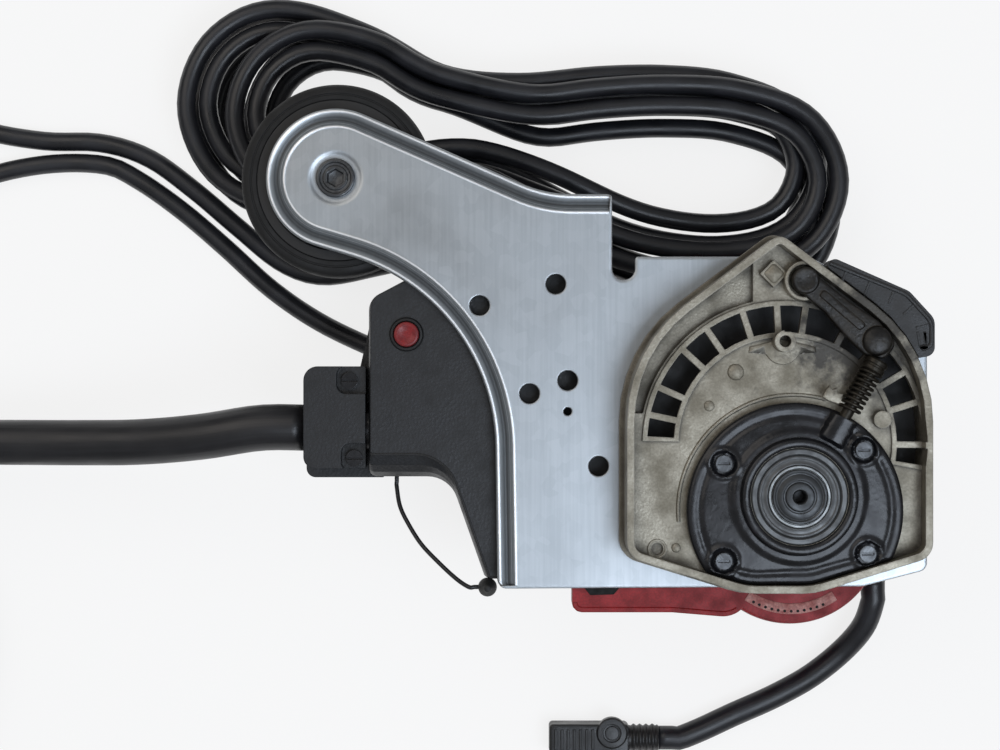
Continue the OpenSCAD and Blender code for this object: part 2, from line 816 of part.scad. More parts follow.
module brush_holders() {
  color("goldenrod") translate([motor.x, motor.y, brush_z]) for (a = [0, 180]) rotate(a)
    difference() {
      translate([commutator_r + 3, -brush_w / 2 - holder_wall, -brush_h / 2 - holder_wall])
        cube([barrel_in - commutator_r - 3 - free_gap, brush_w + 2 * holder_wall,
          brush_h + 2 * holder_wall]);
      translate([commutator_r + 2, -brush_w / 2 - seat_gap, -brush_h / 2 - seat_gap])
        cube([brush_out - 1, brush_w + 2 * seat_gap, brush_h + 2 * seat_gap]);
    }
}

cap_screw_r = 31.5;
cap_screw_angles = [18, 162, 198, 342];
cap_boss_r = 3.8;
// Wide lug of the housing that reaches under the plate to the left
lug_corners = [
  [-92, -50, 4], [-50, -50, 6], [-20, -52.5, 12], [-10, -20, 5], [-20, 1, 8], [-92, 1, 4]
];
lug_t = 14;
lug_wall = 3;

module motor_housing() {
  color("firebrick") difference() {
    union() {
      translate([motor.x, motor.y, cap_h]) cylinder(h = deck_z - cap_h, r = barrel_r);
      translate([0, 0, deck_z - lug_t]) linear_extrude(lug_t) area(lug_corners);
    }
    for (p = case_screw_places) translate([p.x, p.y, deck_z - lug_t]) cylinder(h = 20, r = 2.2);
    translate([motor.x, motor.y, cap_h - 1])
      cylinder(h = deck_z - top_wall - cap_h + 1, r = barrel_in);
    translate([motor.x, motor.y, cap_h]) cylinder(h = deck_z, r = shaft_top_r + 1.2);
    translate([motor.x, motor.y, deck_z - top_wall - 1])
      cylinder(h = top_wall + 1 - 3, r = top_bearing_r);
    translate([0, 0, deck_z - top_wall - 1]) cylinder(h = 20, r = bush_r);
    // lug is a hollow box, open below
    translate([0, 0, deck_z - lug_t - 1]) linear_extrude(lug_t + 1 - lug_wall) difference() {
      area(inset(lug_corners, barrel_wall));
      translate(motor) circle(barrel_r);
    }
    // air slots in the edge under the plate
    for (a = [-110:14:-40]) translate([motor.x, motor.y, fan_z - 1]) rotate(a)
      translate([barrel_in - 3, -1.6, 0]) cube([8, 3.2, fan_h + 1]);
  }
  for (a = cap_screw_angles) color("firebrick")
    translate(concat(motor + polar(cap_screw_r, a), cap_h)) difference() {
      cylinder(h = core_z - cap_h - 0.5, r = cap_boss_r);
      translate([0, 0, -1]) cylinder(h = 20, r = 1.7);
    }
}

cap_base = 3;

module end_cap() {
  color("firebrick") translate([motor.x, motor.y, 0]) difference() {
    union() {
      difference() {
        union() {
          cylinder(h = cap_h, r = barrel_r);
          // flat bosses for the two cord glands
          translate([gland_at.x, 0, gland_at.z]) rotate([-90, 0, 0])
            cylinder(h = gland_at.y - motor.y, r = 9);
          translate([0, lead_gland_at.y - motor.y, 8]) cube([lead_gland_at.x + 8.5, 18, cap_h - 8]);
        }
        translate([0, 0, cap_base]) cylinder(h = cap_h, r = barrel_in);
      }
      cylinder(h = low_bearing_z + low_bearing_w, r = low_bearing_r + 2.5);
      for (a = cap_screw_angles) translate(polar(cap_screw_r, a)) cylinder(h = cap_h, r = cap_boss_r);
    }
    translate([0, 0, low_bearing_z]) cylinder(h = 20, r = low_bearing_r);
    translate([0, 0, cap_base]) cylinder(h = 20, r = shaft_low_r + 1);
    for (a = cap_screw_angles) translate(polar(cap_screw_r, a)) {
      translate([0, 0, -1]) cylinder(h = cap_h + 2, r = 1.7);
      translate([0, 0, -1]) cylinder(h = 4.5, r = 3.4);
    }
    for (a = [60:12:120]) for (b = [0, 180]) rotate(a + b)
      translate([barrel_in - 4, -1.5, 9]) cube([10, 3, 14]);
    for (a = [0, 180]) rotate(a) translate([barrel_in - 1, 0, brush_z]) rotate([0, 90, 0])
      cylinder(h = 10, r = 5.5);
  }
  color("black") translate([motor.x, motor.y, brush_z]) for (a = [0, 180]) rotate(a)
    translate([barrel_in - 0.02, 0, 0]) rotate([0, 90, 0]) cylinder(h = barrel_wall + 0.6, r = 5.5);
}

module end_cap_screws() {
  color("silver") for (a = cap_screw_angles) translate(concat(motor + polar(cap_screw_r, a), 0.6)) {
    cylinder(h = 2.8, r = 3.2);
    cylinder(h = core_z - 3, r = 1.6);
  }
}

// Black air guide that stands beside the case's upper right roof
baffle_corners = [
  [14, 84, 2], [46, 56, 2], [plate_right + 0.5, 58, 4], [plate_right + 0.5, 73, 6],
  [47, 84.5, 6], [13, 99.5, 3]
];
baffle_h = 15;

module air_baffle() {
  color([0.15, 0.15, 0.16]) translate([0, 0, panel_z + seat_gap]) linear_extrude(baffle_h)
    difference() {
      area(baffle_corners);
      area(inset(case_corners, -case_flange - free_gap));
    }
}

// ---------------------------------------------------------------- spindle lock

lever_pin_r = 3;
lever_z = tray_z + 4.5 + free_gap;
lever_t = 7;
pin_r = 2.6;
plunger_from = 33;
plunger_head = 64.8;
head_t = 5;
head_r = 5;
cover_edge = 40;
spring_r = 4.2;
spring_wire = 0.9;
spring_turns = 7;
plunger_post = polar(47, plunger_angle - 18);

// Lever along the case's roof, from its pivot to the plunger's head
module lock_lever() {
  reach = 44;
  lean = atan2(case_shoulder - case_apex, case_half_w);
  color([0.13, 0.13, 0.13]) translate([lever_x, lever_y, lever_z]) difference() {
    union() {
      cylinder(h = lever_t, r = 5.2);
      linear_extrude(lever_t) rotate(lean) area([
        [0, -5, 2], [reach * 0.6, -6, 6], [reach - 6, -8, 4], [reach, -5, 3], [reach, 1.5, 4],
        [reach * 0.75, 4.6, 20], [0, 4.6, 2]
      ]);
    }
    translate([0, 0, -1]) cylinder(h = lever_t - 1, r = lever_pin_r + run_gap);
  }
}

module lock_plunger() {
  color([0.25, 0.22, 0.2]) rotate(plunger_angle) translate([0, 0, plunger_z]) rotate([0, 90, 0]) {
    translate([0, 0, plunger_from]) cylinder(h = plunger_head - head_t - plunger_from, r = pin_r);
    translate([0, 0, plunger_head - head_t - 0.01]) cylinder(h = head_t, r = head_r);
  }
}

// Compression spring round the pin, resting on the head
module lock_spring() {
  len = plunger_head - head_t - 2 * spring_wire - cover_edge - plunger_travel;
  from = plunger_head - head_t - spring_wire / 2 - 0.1;
  steps = spring_turns * 8;
  path = [
    for (k = [0:steps])
      let (a = 360 * k / 8, x = from - len * k / steps)
      [x, spring_r * cos(a), plunger_z + spring_r * sin(a)]
  ];
  color("gray") rotate(plunger_angle) spring_tube(path, spring_wire, 6);
}

// Tube along a helix whose axis is X
module spring_tube(path, d, sides) {
  n = len(path);
  points = [
    for (i = [0:n - 1])
      let (
        t = heading(path, i),
        out = unit([0, path[i].y, path[i].z - plunger_z]),
        u = unit(cross(t, out)),
        s = cross(u, t)
      )
      for (k = [0:sides - 1]) path[i] + d / 2 * (cos(360 * k / sides) * s + sin(360 * k / sides) * u)
  ];
  walls = [
    for (i = [0:n - 2]) for (k = [0:sides - 1])
      let (a = i * sides + k, b = i * sides + (k + 1) % sides)
      each [[a, b + sides, b], [a, a + sides, b + sides]]
  ];
  ends = [
    for (k = [1:sides - 2])
      each [[0, k, k + 1], [(n - 1) * sides, (n - 1) * sides + k + 1, (n - 1) * sides + k]]
  ];
  polyhedron(points, concat(walls, ends), convexity = 8);
}

// ---------------------------------------------------------------- handle

handle_corners = [
  [-102, 78, 10],
  [-122, 97, 10],
  [-150, 97, 14],
  [-handle_left, 82, 8],
  [-handle_left, handle_low, 4],
  [-144, handle_low, 13],
  [-plate_left - 3.5, -36.5, 1.5],
  [-104, -36.5, 3]
];
// How far the top edges are drawn in, edge by edge
face_inset = [0.5, 0.5, 0.5, 1.2, 10.3, 2.2, 0.5, 0.5];
edge_steps = [[0, 0], [0.5, 0.04], [0.75, 0.25], [0.9, 0.55], [1, 1]];
sheath_y = 27;
clamp_left = 206;
clamp_y1 = 53.5;
trigger_pivot = [-132.5, 14];
trigger_pin_r = 2;
finger_cut = trigger_w + 1;
button = [-162, 67];
button_collar = 1.2;

function face_at(s) = rounded([
  for (c = inset(handle_corners, [for (d = face_inset) d * s])) [c.x, c.y, max(c[2], 1.2)]
]);

// Shell of the handle between its parting plane and its outer face, built upwards
module shell_form() {
  loft([for (e = edge_steps) [e[0] * handle_t / 2, face_at(e[1])]]);
}

module shell_cavity() {
  translate([0, 0, -1]) linear_extrude(handle_t / 2 - shell_wall + 1)
    area(inset(handle_corners, [
      shell_wall, shell_wall, shell_wall, shell_wall + 1, shell_wall + 10, shell_wall + 2,
      shell_wall, shell_wall
    ]));
}

// Screw pillars, the trigger's bearing and the mouth for the trigger
module shell_inside() {
  for (p = nut_places) translate([p.x, p.y, 0]) cylinder(h = handle_t / 2, r = 5.5);
  translate([trigger_pivot.x, trigger_pivot.y, trigger_w / 2 + free_gap])
    cylinder(h = handle_t / 2 - trigger_w / 2 - 1, r = 4);
}

module finger_mouth() {
  translate([0, 0, -1]) linear_extrude(finger_cut / 2 + 1) polygon([
    [-142, -40], [-142, 8], [-126, 8], [-117.5, -26], [-117.5, -40]
  ]);
}

module handle_front() {
  color([0.17, 0.17, 0.18]) difference() {
    union() {
      translate([0, 0, mid_z + seat_gap]) difference() {
        shell_form();
        difference() {
          shell_cavity();
          shell_inside();
        }
      }
      for (p = nut_places) translate([p.x, p.y, handle_top - 1])
        cylinder(h = deck_z - nut_h - handle_top + 1 - seat_gap, r = 5.5);
      translate([button.x, button.y, handle_top - 1]) cylinder(h = 1 + button_collar, r = button_r + 1.3);
      // web that closes the plate's holes from below
      translate([0, 0, handle_top - 7]) linear_extrude(4) area([
        [-106, 2, 1], [-72, 2, 6], [-72, 92, 8], [-90, 98, 8], [-106, 74, 4]
      ]);
    }
    for (p = nut_places) translate([p.x, p.y, mid_z - 1]) cylinder(h = handle_t, r = 2.3);
    translate([button.x, button.y, mid_z]) cylinder(h = handle_t, r = button_r + run_gap);
    translate([0, 0, mid_z]) finger_mouth();
    translate([trigger_pivot.x, trigger_pivot.y, mid_z - 1]) cylinder(h = 14, r = trigger_pin_r + run_gap);
    clamp_bore();
  }
}

module handle_rear() {
  color([0.17, 0.17, 0.18]) difference() {
    union() {
      translate([0, 0, mid_z - seat_gap]) mirror([0, 0, 1]) difference() {
        shell_form();
        difference() {
          shell_cavity();
          shell_inside();
        }
      }
      translate([0, 0, handle_z + 3]) linear_extrude(handle_t / 2 - 3 - 2 * seat_gap) area([
        [-clamp_left, handle_low - 0.4, 4], [-handle_left + 6, handle_low - 0.4, 0.5],
        [-handle_left + 4.5, clamp_y1, 1], [-clamp_left, clamp_y1, 6]
      ]);
      translate([0, 0, handle_z + 5]) linear_extrude(handle_t / 2 - 10) area([
        [-handle_left - 5, clamp_y1 - 2, 1], [-handle_left + 2, clamp_y1 - 2, 1],
        [-handle_left + 1.5, 80, 0.5]
      ]);
    }
    for (p = nut_places) translate([p.x, p.y, handle_z - 1]) {
      cylinder(h = handle_t, r = 2.3);
      cylinder(h = 4, r = 4.2);
    }
    mirror_z(mid_z) finger_mouth();
    translate([trigger_pivot.x, trigger_pivot.y, mid_z - 13]) cylinder(h = 14, r = trigger_pin_r + run_gap);
    clamp_bore();
    for (p = clamp_screw_places) translate([p.x, p.y, mid_z - 12]) cylinder(h = 14, r = 1.7);
  }
}

module mirror_z(z) {
  translate([0, 0, z]) mirror([0, 0, 1]) children();
}

module clamp_bore() {
  translate([-clamp_left - 1, sheath_y, mid_z]) rotate([0, 90, 0])
    cylinder(h = clamp_left - handle_left + 6, r = ferrule_r + seat_gap);
}

clamp_screw_places = [[-186.5, 47.3], [-184.5, 14.2]];
clamp_h = handle_t / 2 - 3;

module clamp_cap() {
  color([0.17, 0.17, 0.18]) difference() {
    translate([0, 0, mid_z + seat_gap]) linear_extrude(clamp_h) area([
      [-clamp_left, handle_low + 4, 5], [-handle_left - 1.2, handle_low + 4, 1],
      [-handle_left - 1.2, clamp_y1, 1], [-clamp_left, clamp_y1, 6]
    ]);
    clamp_bore();
    for (p = clamp_screw_places) {
      translate([p.x, p.y, mid_z - 1]) cylinder(h = handle_t, r = 1.9);
      translate([0, 0, mid_z + clamp_h - 5]) linear_extrude(10) area([
        [p.x - 5.5, p.y - 5.5, 4], [p.x + 9, p.y - 5.5, 0.5], [p.x + 9, p.y + 6.5, 0.5],
        [p.x - 5.5, p.y + 6.5, 4]
      ]);
    }
  }
}

module clamp_screws() {
  color("dimgray") for (p = clamp_screw_places)
    translate([p.x, p.y, mid_z + clamp_h - 5 + seat_gap]) {
      difference() {
        cylinder(h = 2.4, r = 3.6);
        translate([0, 0, 2]) cube([9, 1, 2], center = true);
      }
      translate([0, 0, -clamp_h + 1]) cylinder(h = clamp_h, r = 1.6);
    }
}

module lock_button() {
  color("crimson") translate([button.x, button.y, 0]) {
    translate([0, 0, handle_top - shell_wall - 2]) cylinder(h = shell_wall + 5 + button_collar, r = button_r);
    translate([0, 0, handle_top - shell_wall - 2]) cylinder(h = 2 - free_gap, r = button_r + 1.5);
  }
}

// Finger side of the trigger, from its bearing eye to its toe
trigger_corners = [
  [-137.5, 0, 3], [-136.5, -7, 10], [-126.5, -28, 1], [-124, -26, 0.6], [-128.5, 8, 3],
  [-130, 17, 1.5], [-136, 17, 1.5], [-138, 6, 4]
];

module trigger() {
  color([0.13, 0.13, 0.14]) difference() {
    translate([0, 0, mid_z - trigger_w / 2]) linear_extrude(trigger_w) area(trigger_corners);
    for (k = [0:5]) translate([-137.5 + 2 * k, -9 - 4 * k, mid_z - trigger_w / 2 + 2]) rotate(-63)
      translate([0, -1.6]) cube([1, 1.2, trigger_w - 4]);
  }
  color([0.13, 0.13, 0.14]) translate([trigger_pivot.x, trigger_pivot.y, mid_z - trigger_w / 2 - 3])
    cylinder(h = trigger_w + 6, r = trigger_pin_r);
}

switch_box = [[-172, 26], [-143, 58]];

module switch_body() {
  color("dimgray") {
    translate([switch_box[0].x, switch_box[0].y, handle_z + shell_wall + seat_gap])
      cube([switch_box[1].x - switch_box[0].x, switch_box[1].y - switch_box[0].y,
        handle_t - 2 * shell_wall - 2 * seat_gap]);
    // lock housing under the button
    translate([button.x, switch_box[1].y - 1, mid_z - 5]) linear_extrude(handle_t / 2 - shell_wall - button_travel - 0.5)
      translate([-5, 0]) square([10, 14]);
  }
}

grommet = [-plate_left - 2.2, -plate_bottom - 0.2];
grommet_r = 3.2;
// Route of the guard's wire, from the handle's lower edge to the plate's corner
guard_route = [
  [-167, handle_low - seat_gap, mid_z], [-167, 4, mid_z], [-167, 1.5, mid_z], [-165.5, -7, mid_z + 1],
  [-161.5, -15, mid_z + 3], [-156, -23, mid_z + 7], [-148.5, -30.5, mid_z + 11],
  [-141, -37, mid_z + 15], [grommet.x - 8, grommet.y, mid_z + 18], [grommet.x - 5.5, grommet.y, mid_z + 18],
  [grommet.x - grommet_r, grommet.y, mid_z + 18]
];

module wire_guard() {
  color([0.15, 0.15, 0.15]) tube(route(guard_route, 3), guard_d, 8);
}

module guard_grommet() {
  color("black") difference() {
    translate([grommet.x, grommet.y, mid_z + 13]) cylinder(h = rim_z + 1 - mid_z - 13, r = grommet_r);
    translate([0, 0, rim_z - skirt_h - 5]) linear_extrude(30) area(inset(plate_corners, -seat_gap));
  }
}

// ---------------------------------------------------------------- guide wheel

wheel_z = rim_z - skirt_h - 3 - wheel_w;
tyre_t = 7;
axle_screw_r = 4;
collar_r = axle_r + 4;

module wheel_hub() {
  color([0.2, 0.2, 0.21]) translate([arm.x, arm.y, wheel_z]) difference() {
    union() {
      ring(axle_r + run_gap, wheel_r - tyre_t, wheel_w / 3);
      ring(axle_r + run_gap, axle_r + 6, wheel_w);
      ring(wheel_r - tyre_t - 4, wheel_r - tyre_t, wheel_w);
      for (k = [0:5]) rotate(60 * k) translate([axle_r + 5, -1.5, 0])
        cube([wheel_r - tyre_t - axle_r - 7, 3, wheel_w - 2]);
    }
  }
}

module wheel_tyre() {
  r0 = wheel_r - tyre_t + seat_gap;
  color([0.08, 0.08, 0.08]) translate([arm.x, arm.y, wheel_z]) rotate_extrude() polygon([
    [r0, 0], [wheel_r - 3, 0], [wheel_r - 0.8, 1.2], [wheel_r, 3.5],
    [wheel_r, wheel_w - 3.5], [wheel_r - 0.8, wheel_w - 1.2], [wheel_r - 3, wheel_w], [r0, wheel_w]
  ]);
}

module wheel_axle() {
  top = deck_z - seat_gap;
  color("silver") translate([arm.x, arm.y, 0]) difference() {
    rotate_extrude() polygon([
      [0, wheel_z - 4], [collar_r, wheel_z - 4], [collar_r, wheel_z - free_gap],
      [axle_r, wheel_z - free_gap], [axle_r, wheel_z + wheel_w + free_gap],
      [collar_r, wheel_z + wheel_w + free_gap], [collar_r, top], [0, top]
    ]);
    translate([0, 0, deck_z - 16]) cylinder(h = 20, r = axle_screw_r + seat_gap);
  }
}

module axle_screw() {
  color("silver") translate([arm.x, arm.y, panel_z - 0.6 + seat_gap]) difference() {
    union() {
      cylinder(h = 2.6, r = 8.2);
      translate([0, 0, -14]) cylinder(h = 14.1, r = axle_screw_r);
    }
    translate([0, 0, 1.4]) cylinder(h = 3, r = 3.6, $fn = 6);
  }
}

// ---------------------------------------------------------------- flexible shaft

ferrule_r = 10.4;
sheath_r = sheath_d / 2;

module sheath_ferrule() {
  color("gray") translate([-clamp_left, sheath_y, mid_z]) rotate([0, 90, 0]) difference() {
    union() {
      cylinder(h = clamp_left - handle_left + 4, r = ferrule_r);
    }
    translate([0, 0, 8]) cylinder(h = 40, r = 5);
  }
}

coil_top = 28;
coil_from = -458;
// The sheath sags from the clamp, crosses over the outer turn of its coil and lies down
sheath_points = [
  [-clamp_left, sheath_y, mid_z], [-clamp_left - 20, sheath_y, mid_z], [-252, 23, mid_z - 5],
  [-280, 20.5, 53], [-309, 20, 46], [-345, 20, 40], [-380, 20, 36], [-405, 20, 33],
  [-424, 20, 30.6], [-440, 20, coil_top], [coil_from, 20, coil_top]
];

coil_c = [-475, -75];
coil_r = 20 - coil_c.y;
coil_pitch = 20.5;
coil_turns = 1.5;
coil_rings = 24;

function coil_point(t) =
  let (r = coil_r + coil_pitch * t, a = 90 + 360 * t, s = min(1, t / 0.3))
  [coil_c.x + r * cos(a), coil_c.y + r * sin(a), coil_top - (coil_top - sheath_r) * s * s * (3 - 2 * s)];

coil_path = concat(
  [[coil_from, 20, coil_top]],
  [for (k = [0:coil_turns * coil_rings]) coil_point(k / coil_rings)]
);

module shaft_sheath() {
  color([0.1, 0.1, 0.1]) tube(route(sheath_points, 1), sheath_d, 10);
}

module shaft_coil() {
  color([0.1, 0.1, 0.1]) tube(coil_path, sheath_d, 10);
}

coil_end = coil_path[len(coil_path) - 1];
coil_way = heading(coil_path, len(coil_path) - 1);
hand_z = sheath_r + 3;

// Local frame along the coil's last heading, with X along the handpiece
module at_coil_end() {
  translate([coil_end.x, coil_end.y, sheath_r]) rotate(atan2(coil_way.y, coil_way.x)) rotate([0, 90, 0])
    children();
}

grip_r = 10.9;
body_len = 62;
grip_len = 58;
chuck_len = 26;

module handpiece() {
  color("silver") at_coil_end() difference() {
    rotate_extrude() polygon([
      [0, seat_gap], [8.5, seat_gap], [9.6, 1.4], [9.6, 14], [8.4, 20], [8.4, body_len + grip_len],
      [0, body_len + grip_len]
    ]);
    translate([0, 0, body_len + grip_len - 12]) cylinder(h = 20, r = 4 + run_gap);
  }
}

module handpiece_grip() {
  color([0.12, 0.12, 0.12]) at_coil_end() rotate_extrude() polygon([
    [8.4 + seat_gap, 26], [9.4, 26], [9.9, 30], [9.9, 92], [9.2, 98], [9.2, 114], [8.4 + seat_gap, 116]
  ]);
}

module handpiece_chuck() {
  from = body_len + grip_len;
  color("silver") at_coil_end() difference() {
    union() {
      translate([0, 0, from - 11]) cylinder(h = 12, r = 4);
      translate([0, 0, from + free_gap]) rotate_extrude() polygon([
        [0, 0], [8, 0], [8, 12], [7, 14], [5.5, chuck_len], [0, chuck_len]
      ]);
    }
    translate([0, 0, from + 4]) cylinder(h = 40, r = 1.6);
  }
}

// ---------------------------------------------------------------- mains cord

pitch = mains_d + 1.2;    // from one strand to the next, side by side
rise = mains_d + 0.6;     // from one layer to the next
hank_loops = 8;
cord_r = mains_d / 2;

// Middle line of the hank's loops, clockwise from the waist's lower run
hank_points = [
  [-137, 141], [-178, 136], [-218, 133], [-242, 143], [-253, 168], [-244, 193], [-220, 205],
  [-182, 196], [-150, 180], [-113, 176], [-78, 180], [-46, 181], [-15, 178], [13, 165],
  [24, 137], [13, 109], [-15, 98], [-58, 102], [-100, 122]
];
// Places of the 24 rings of each loop, as steps between those points: close together at both ends
hank_rings = [
  0, 1, 2, 2.5, 3, 3.5, 4, 4.5, 5, 5.5, 6, 7.5, 9, 10.6, 12, 12.5, 13, 13.5, 14, 14.5, 15, 15.5, 16, 17.5
];
// The four layers don't lie quite on each other: right end in X, its upper run and its lower run
// in Y, left end in X and in Y
layer_shifts = [[0, 0, 0, 0, 0], [-3, -15, -8, 20, -6], [-6, 0, 12, -3, 3], [-2, -7, 6, 14, -4]];

function loop_point(t) =
  let (n = len(hank_points), s = (t - floor(t)) * n, i = floor(s) % n)
  spline(hank_points[(i + n - 1) % n], hank_points[i], hank_points[(i + 1) % n],
    hank_points[(i + 2) % n], s - floor(s));
function loop_normal(t) =
  let (d = unit(loop_point(t + 0.01) - loop_point(t - 0.01))) [-d.y, d.x];
function ease(x) = let (s = max(0, min(1, x))) s * s * (3 - 2 * s);
// Two turns wind inwards, the next two outwards, one layer higher each time
function strand_offset(t) = pitch * ((t < 0 ? 2 - t : abs(t % 4 - 2)) - 1);
// Share of each layer change that is done, begun so many turns after the second, fourth, sixth
function change(t, begin, width) = [for (k = [1:3]) ease((t - 2 * k - begin) / width)];
function climbed(t) = change(t, -0.17, 0.14) * [1, 1, 1];
function shift(t, i) = change(t, -0.05, 0.1) * [
  for (k = [1:3]) layer_shifts[k][i] - layer_shifts[k - 1][i]
];

function hank_point(t) =
  let (
    b = loop_point(t),
    p = b + strand_offset(t) * loop_normal(t),
    right = ease((p.x + 150) / 55),
    left = ease((-160 - p.x) / 50),
    up = max(0, min(1, (b.y - 98) / 82))
  )
  [
    p.x + right * shift(t, 0) * ease((p.x + 60) / 60) + left * shift(t, 3),
    p.y + right * (shift(t, 1) * up + shift(t, 2) * (1 - up)) + left * shift(t, 4),
    cord_r + rise * climbed(t)
  ];

hank_from = -0.14;
hank_times = concat(
  [hank_from],
  [
    for (k = [-1:hank_loops - 1]) for (s = hank_rings)
      let (t = k + s / len(hank_points)) if (t > hank_from + 0.015) t
  ]
);
hank_path = [for (t = hank_times) hank_point(t)];
hank_start = hank_path[0];
hank_end = hank_path[len(hank_path) - 1];
hank_in = unit(hank_path[1] - hank_start);
hank_out = heading(hank_path, len(hank_path) - 1);

// Least gap between two stretches of the hank that aren't neighbours, measured on its points
function piece_gap(p, q0, q1) =
  let (d = q1 - q0, s = max(0, min(1, (p - q0) * d / (d * d)))) norm(p - q0 - s * d);
hank_gap = min([
  for (i = [0:len(hank_path) - 8]) for (j = [i + 6:len(hank_path) - 2])
    if (norm(hank_path[i] - hank_path[j]) < 80) piece_gap(hank_path[i], hank_path[j], hank_path[j + 1])
]) - mains_d;

module cord_hank() {
  echo(hank_gap = hank_gap);
  color([0.08, 0.08, 0.08]) tube(hank_path, mains_d, 6);
}

gland_at = [8, motor.y + barrel_r + 1.5, 10.5];
gland_len = 24;
feed_points = [
  gland_at + [0, gland_len, 0], gland_at + [0, gland_len + 4, 0], gland_at + [0, gland_len + 7, 0],
  [7.3, 65, 7.2], [0, 76.5, 4.6], [-10, 81.5, cord_r], hank_start - 9 * hank_in, hank_start - 5 * hank_in,
  hank_start
];

module cord_gland() {
  color([0.1, 0.1, 0.1]) translate(gland_at) rotate([-90, 0, 0]) rotate_extrude() polygon([
    [0, seat_gap], [8, seat_gap], [8, 5], [6.4, 6], [cord_r + 0.9, gland_len], [0, gland_len]
  ]);
}

module cord_feed() {
  color([0.08, 0.08, 0.08]) tube(route(feed_points, 2), mains_d, 8);
}

module cord_tail() {
  color([0.08, 0.08, 0.08]) tube(route(tail_points, 2), mains_d, 8);
}

plug_r = 17.5;
plug_at = [-112, 50, plug_r];
tail_points = [
  hank_end, hank_end + 6 * hank_out, hank_end + 9 * hank_out, [-122, 109, 28], [-150, 105, 20],
  [-178, 99, 12], [-203, 95, 5.8], [-222, 101, cord_r], [-242, 117, cord_r], [-262, 134, cord_r], [-283, 149, cord_r],
  [-305, 156, cord_r], [-332, 157, cord_r], [-362, 163, cord_r], [-392, 178, cord_r],
  [-424, 180, cord_r], [-446, 158, cord_r], [-441, 132, cord_r], [-418, 119, cord_r],
  [-390, 125, cord_r], [-362, 139, cord_r], [-332, 146, cord_r], [-304, 146, cord_r],
  [-288, 139, cord_r], [-268, 125, cord_r], [-248, 108, cord_r], [-227, 89, cord_r],
  [-205, 74, cord_r], [-180, 62, 6], [-155, 52.5, 13], [-132, 50, 17.1], plug_at + [-9, 0, 0],
  plug_at + [-6, 0, 0], plug_at
];

module at_plug() {
  translate(plug_at) rotate([0, 90, 0]) children();
}

module mains_plug() {
  color([0.1, 0.1, 0.1]) at_plug() rotate_extrude() polygon([
    [0, seat_gap], [cord_r + 1, seat_gap], [cord_r + 2.4, 14], [12, 20], [plug_r, 30], [plug_r, 42],
    [plug_r - 1.5, 44], [0, 44]
  ]);
}

module plug_pins() {
  color("silver") at_plug() for (s = [-1, 1]) translate([0, 9.5 * s, 44 + seat_gap]) cylinder(h = 12, r = 2.4);
}

// ---------------------------------------------------------------- control lead

lead_gland_at = [motor.x + barrel_r + 8, motor.y - 8, 19];
lead_gland_len = 18;
lead_r = lead_d / 2;
connector_at = [-50, -116, lead_r + 0.5];
connector_len = 50;
lead_points = [
  lead_gland_at + [0, -lead_gland_len, 0], lead_gland_at + [0, -lead_gland_len - 7, 0],
  lead_gland_at + [0, -lead_gland_len - 10, 0], [42.5, -64, 14.5], [33.5, -76, 9], [19, -88, 6.6],
  [2, -97.5, lead_r + 0.2], [-16, -105.5, lead_r + 0.2], [-30, -112, lead_r + 0.4],
  connector_at + [10, 0, 0], connector_at + [7, 0, 0], connector_at
];

module lead_gland() {
  color([0.1, 0.1, 0.1]) translate(lead_gland_at) rotate([90, 0, 0]) rotate_extrude() polygon([
    [0, seat_gap], [7.5, seat_gap], [7.5, 5], [7, 6], [lead_r + 0.8, lead_gland_len], [0, lead_gland_len]
  ]);
}

module control_lead() {
  color([0.08, 0.08, 0.08]) tube(route(lead_points, 2), lead_d, 8);
}

module lead_connector() {
  color([0.1, 0.1, 0.1]) translate(connector_at) rotate([0, -90, 0]) {
    rotate_extrude() polygon([
      [0, seat_gap], [lead_r + 1, seat_gap], [lead_r + 1, 14], [0, 14]
    ]);
  }
  color([0.1, 0.1, 0.1]) translate([connector_at.x - 13.5, connector_at.y, 0]) {
    translate([-connector_len + 13.5, -7, 0]) cube([connector_len - 13.5, 14, 12.5]);
    translate([-8, 3, 0]) cylinder(h = 13.5, r = 7);
  }
}

// ---------------------------------------------------------------- nodes

carrier_plate();
weld_nuts();
gear_case();
case_gasket();
case_screws();
bearing_cover();
cover_screws();
bearing_outer_ring();
bearing_seal();
bearing_inner_ring();
bearing_balls();
spindle();
spindle_gear();
spindle_bush();
armature();
commutator();
cooling_fan();
upper_bearing();
lower_bearing();
field_core();
field_coils();
carbon_brushes();
brush_holders();
motor_housing();
end_cap();
end_cap_screws();
air_baffle();
lock_lever();
lock_plunger();
lock_spring();
handle_front();
handle_rear();
clamp_cap();
clamp_screws();
lock_button();
trigger();
switch_body();
wire_guard();
guard_grommet();
wheel_hub();
wheel_tyre();
wheel_axle();
axle_screw();
sheath_ferrule();
shaft_sheath();
shaft_coil();
handpiece();
handpiece_grip();
handpiece_chuck();
cord_gland();
cord_feed();
cord_hank();
cord_tail();
mains_plug();
plug_pins();
lead_gland();
control_lead();
lead_connector();
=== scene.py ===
"""Looks of a hand-held motor unit with a flexible shaft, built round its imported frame.

Every length is in metres unless a name ends in _mm. The spindle's axis is the origin,
Z points up from the floor, and the unit lies flat with its carrier plate on top.
"""

from __future__ import annotations

import json
import logging
import math
from dataclasses import dataclass
from enum import Enum
from typing import Any

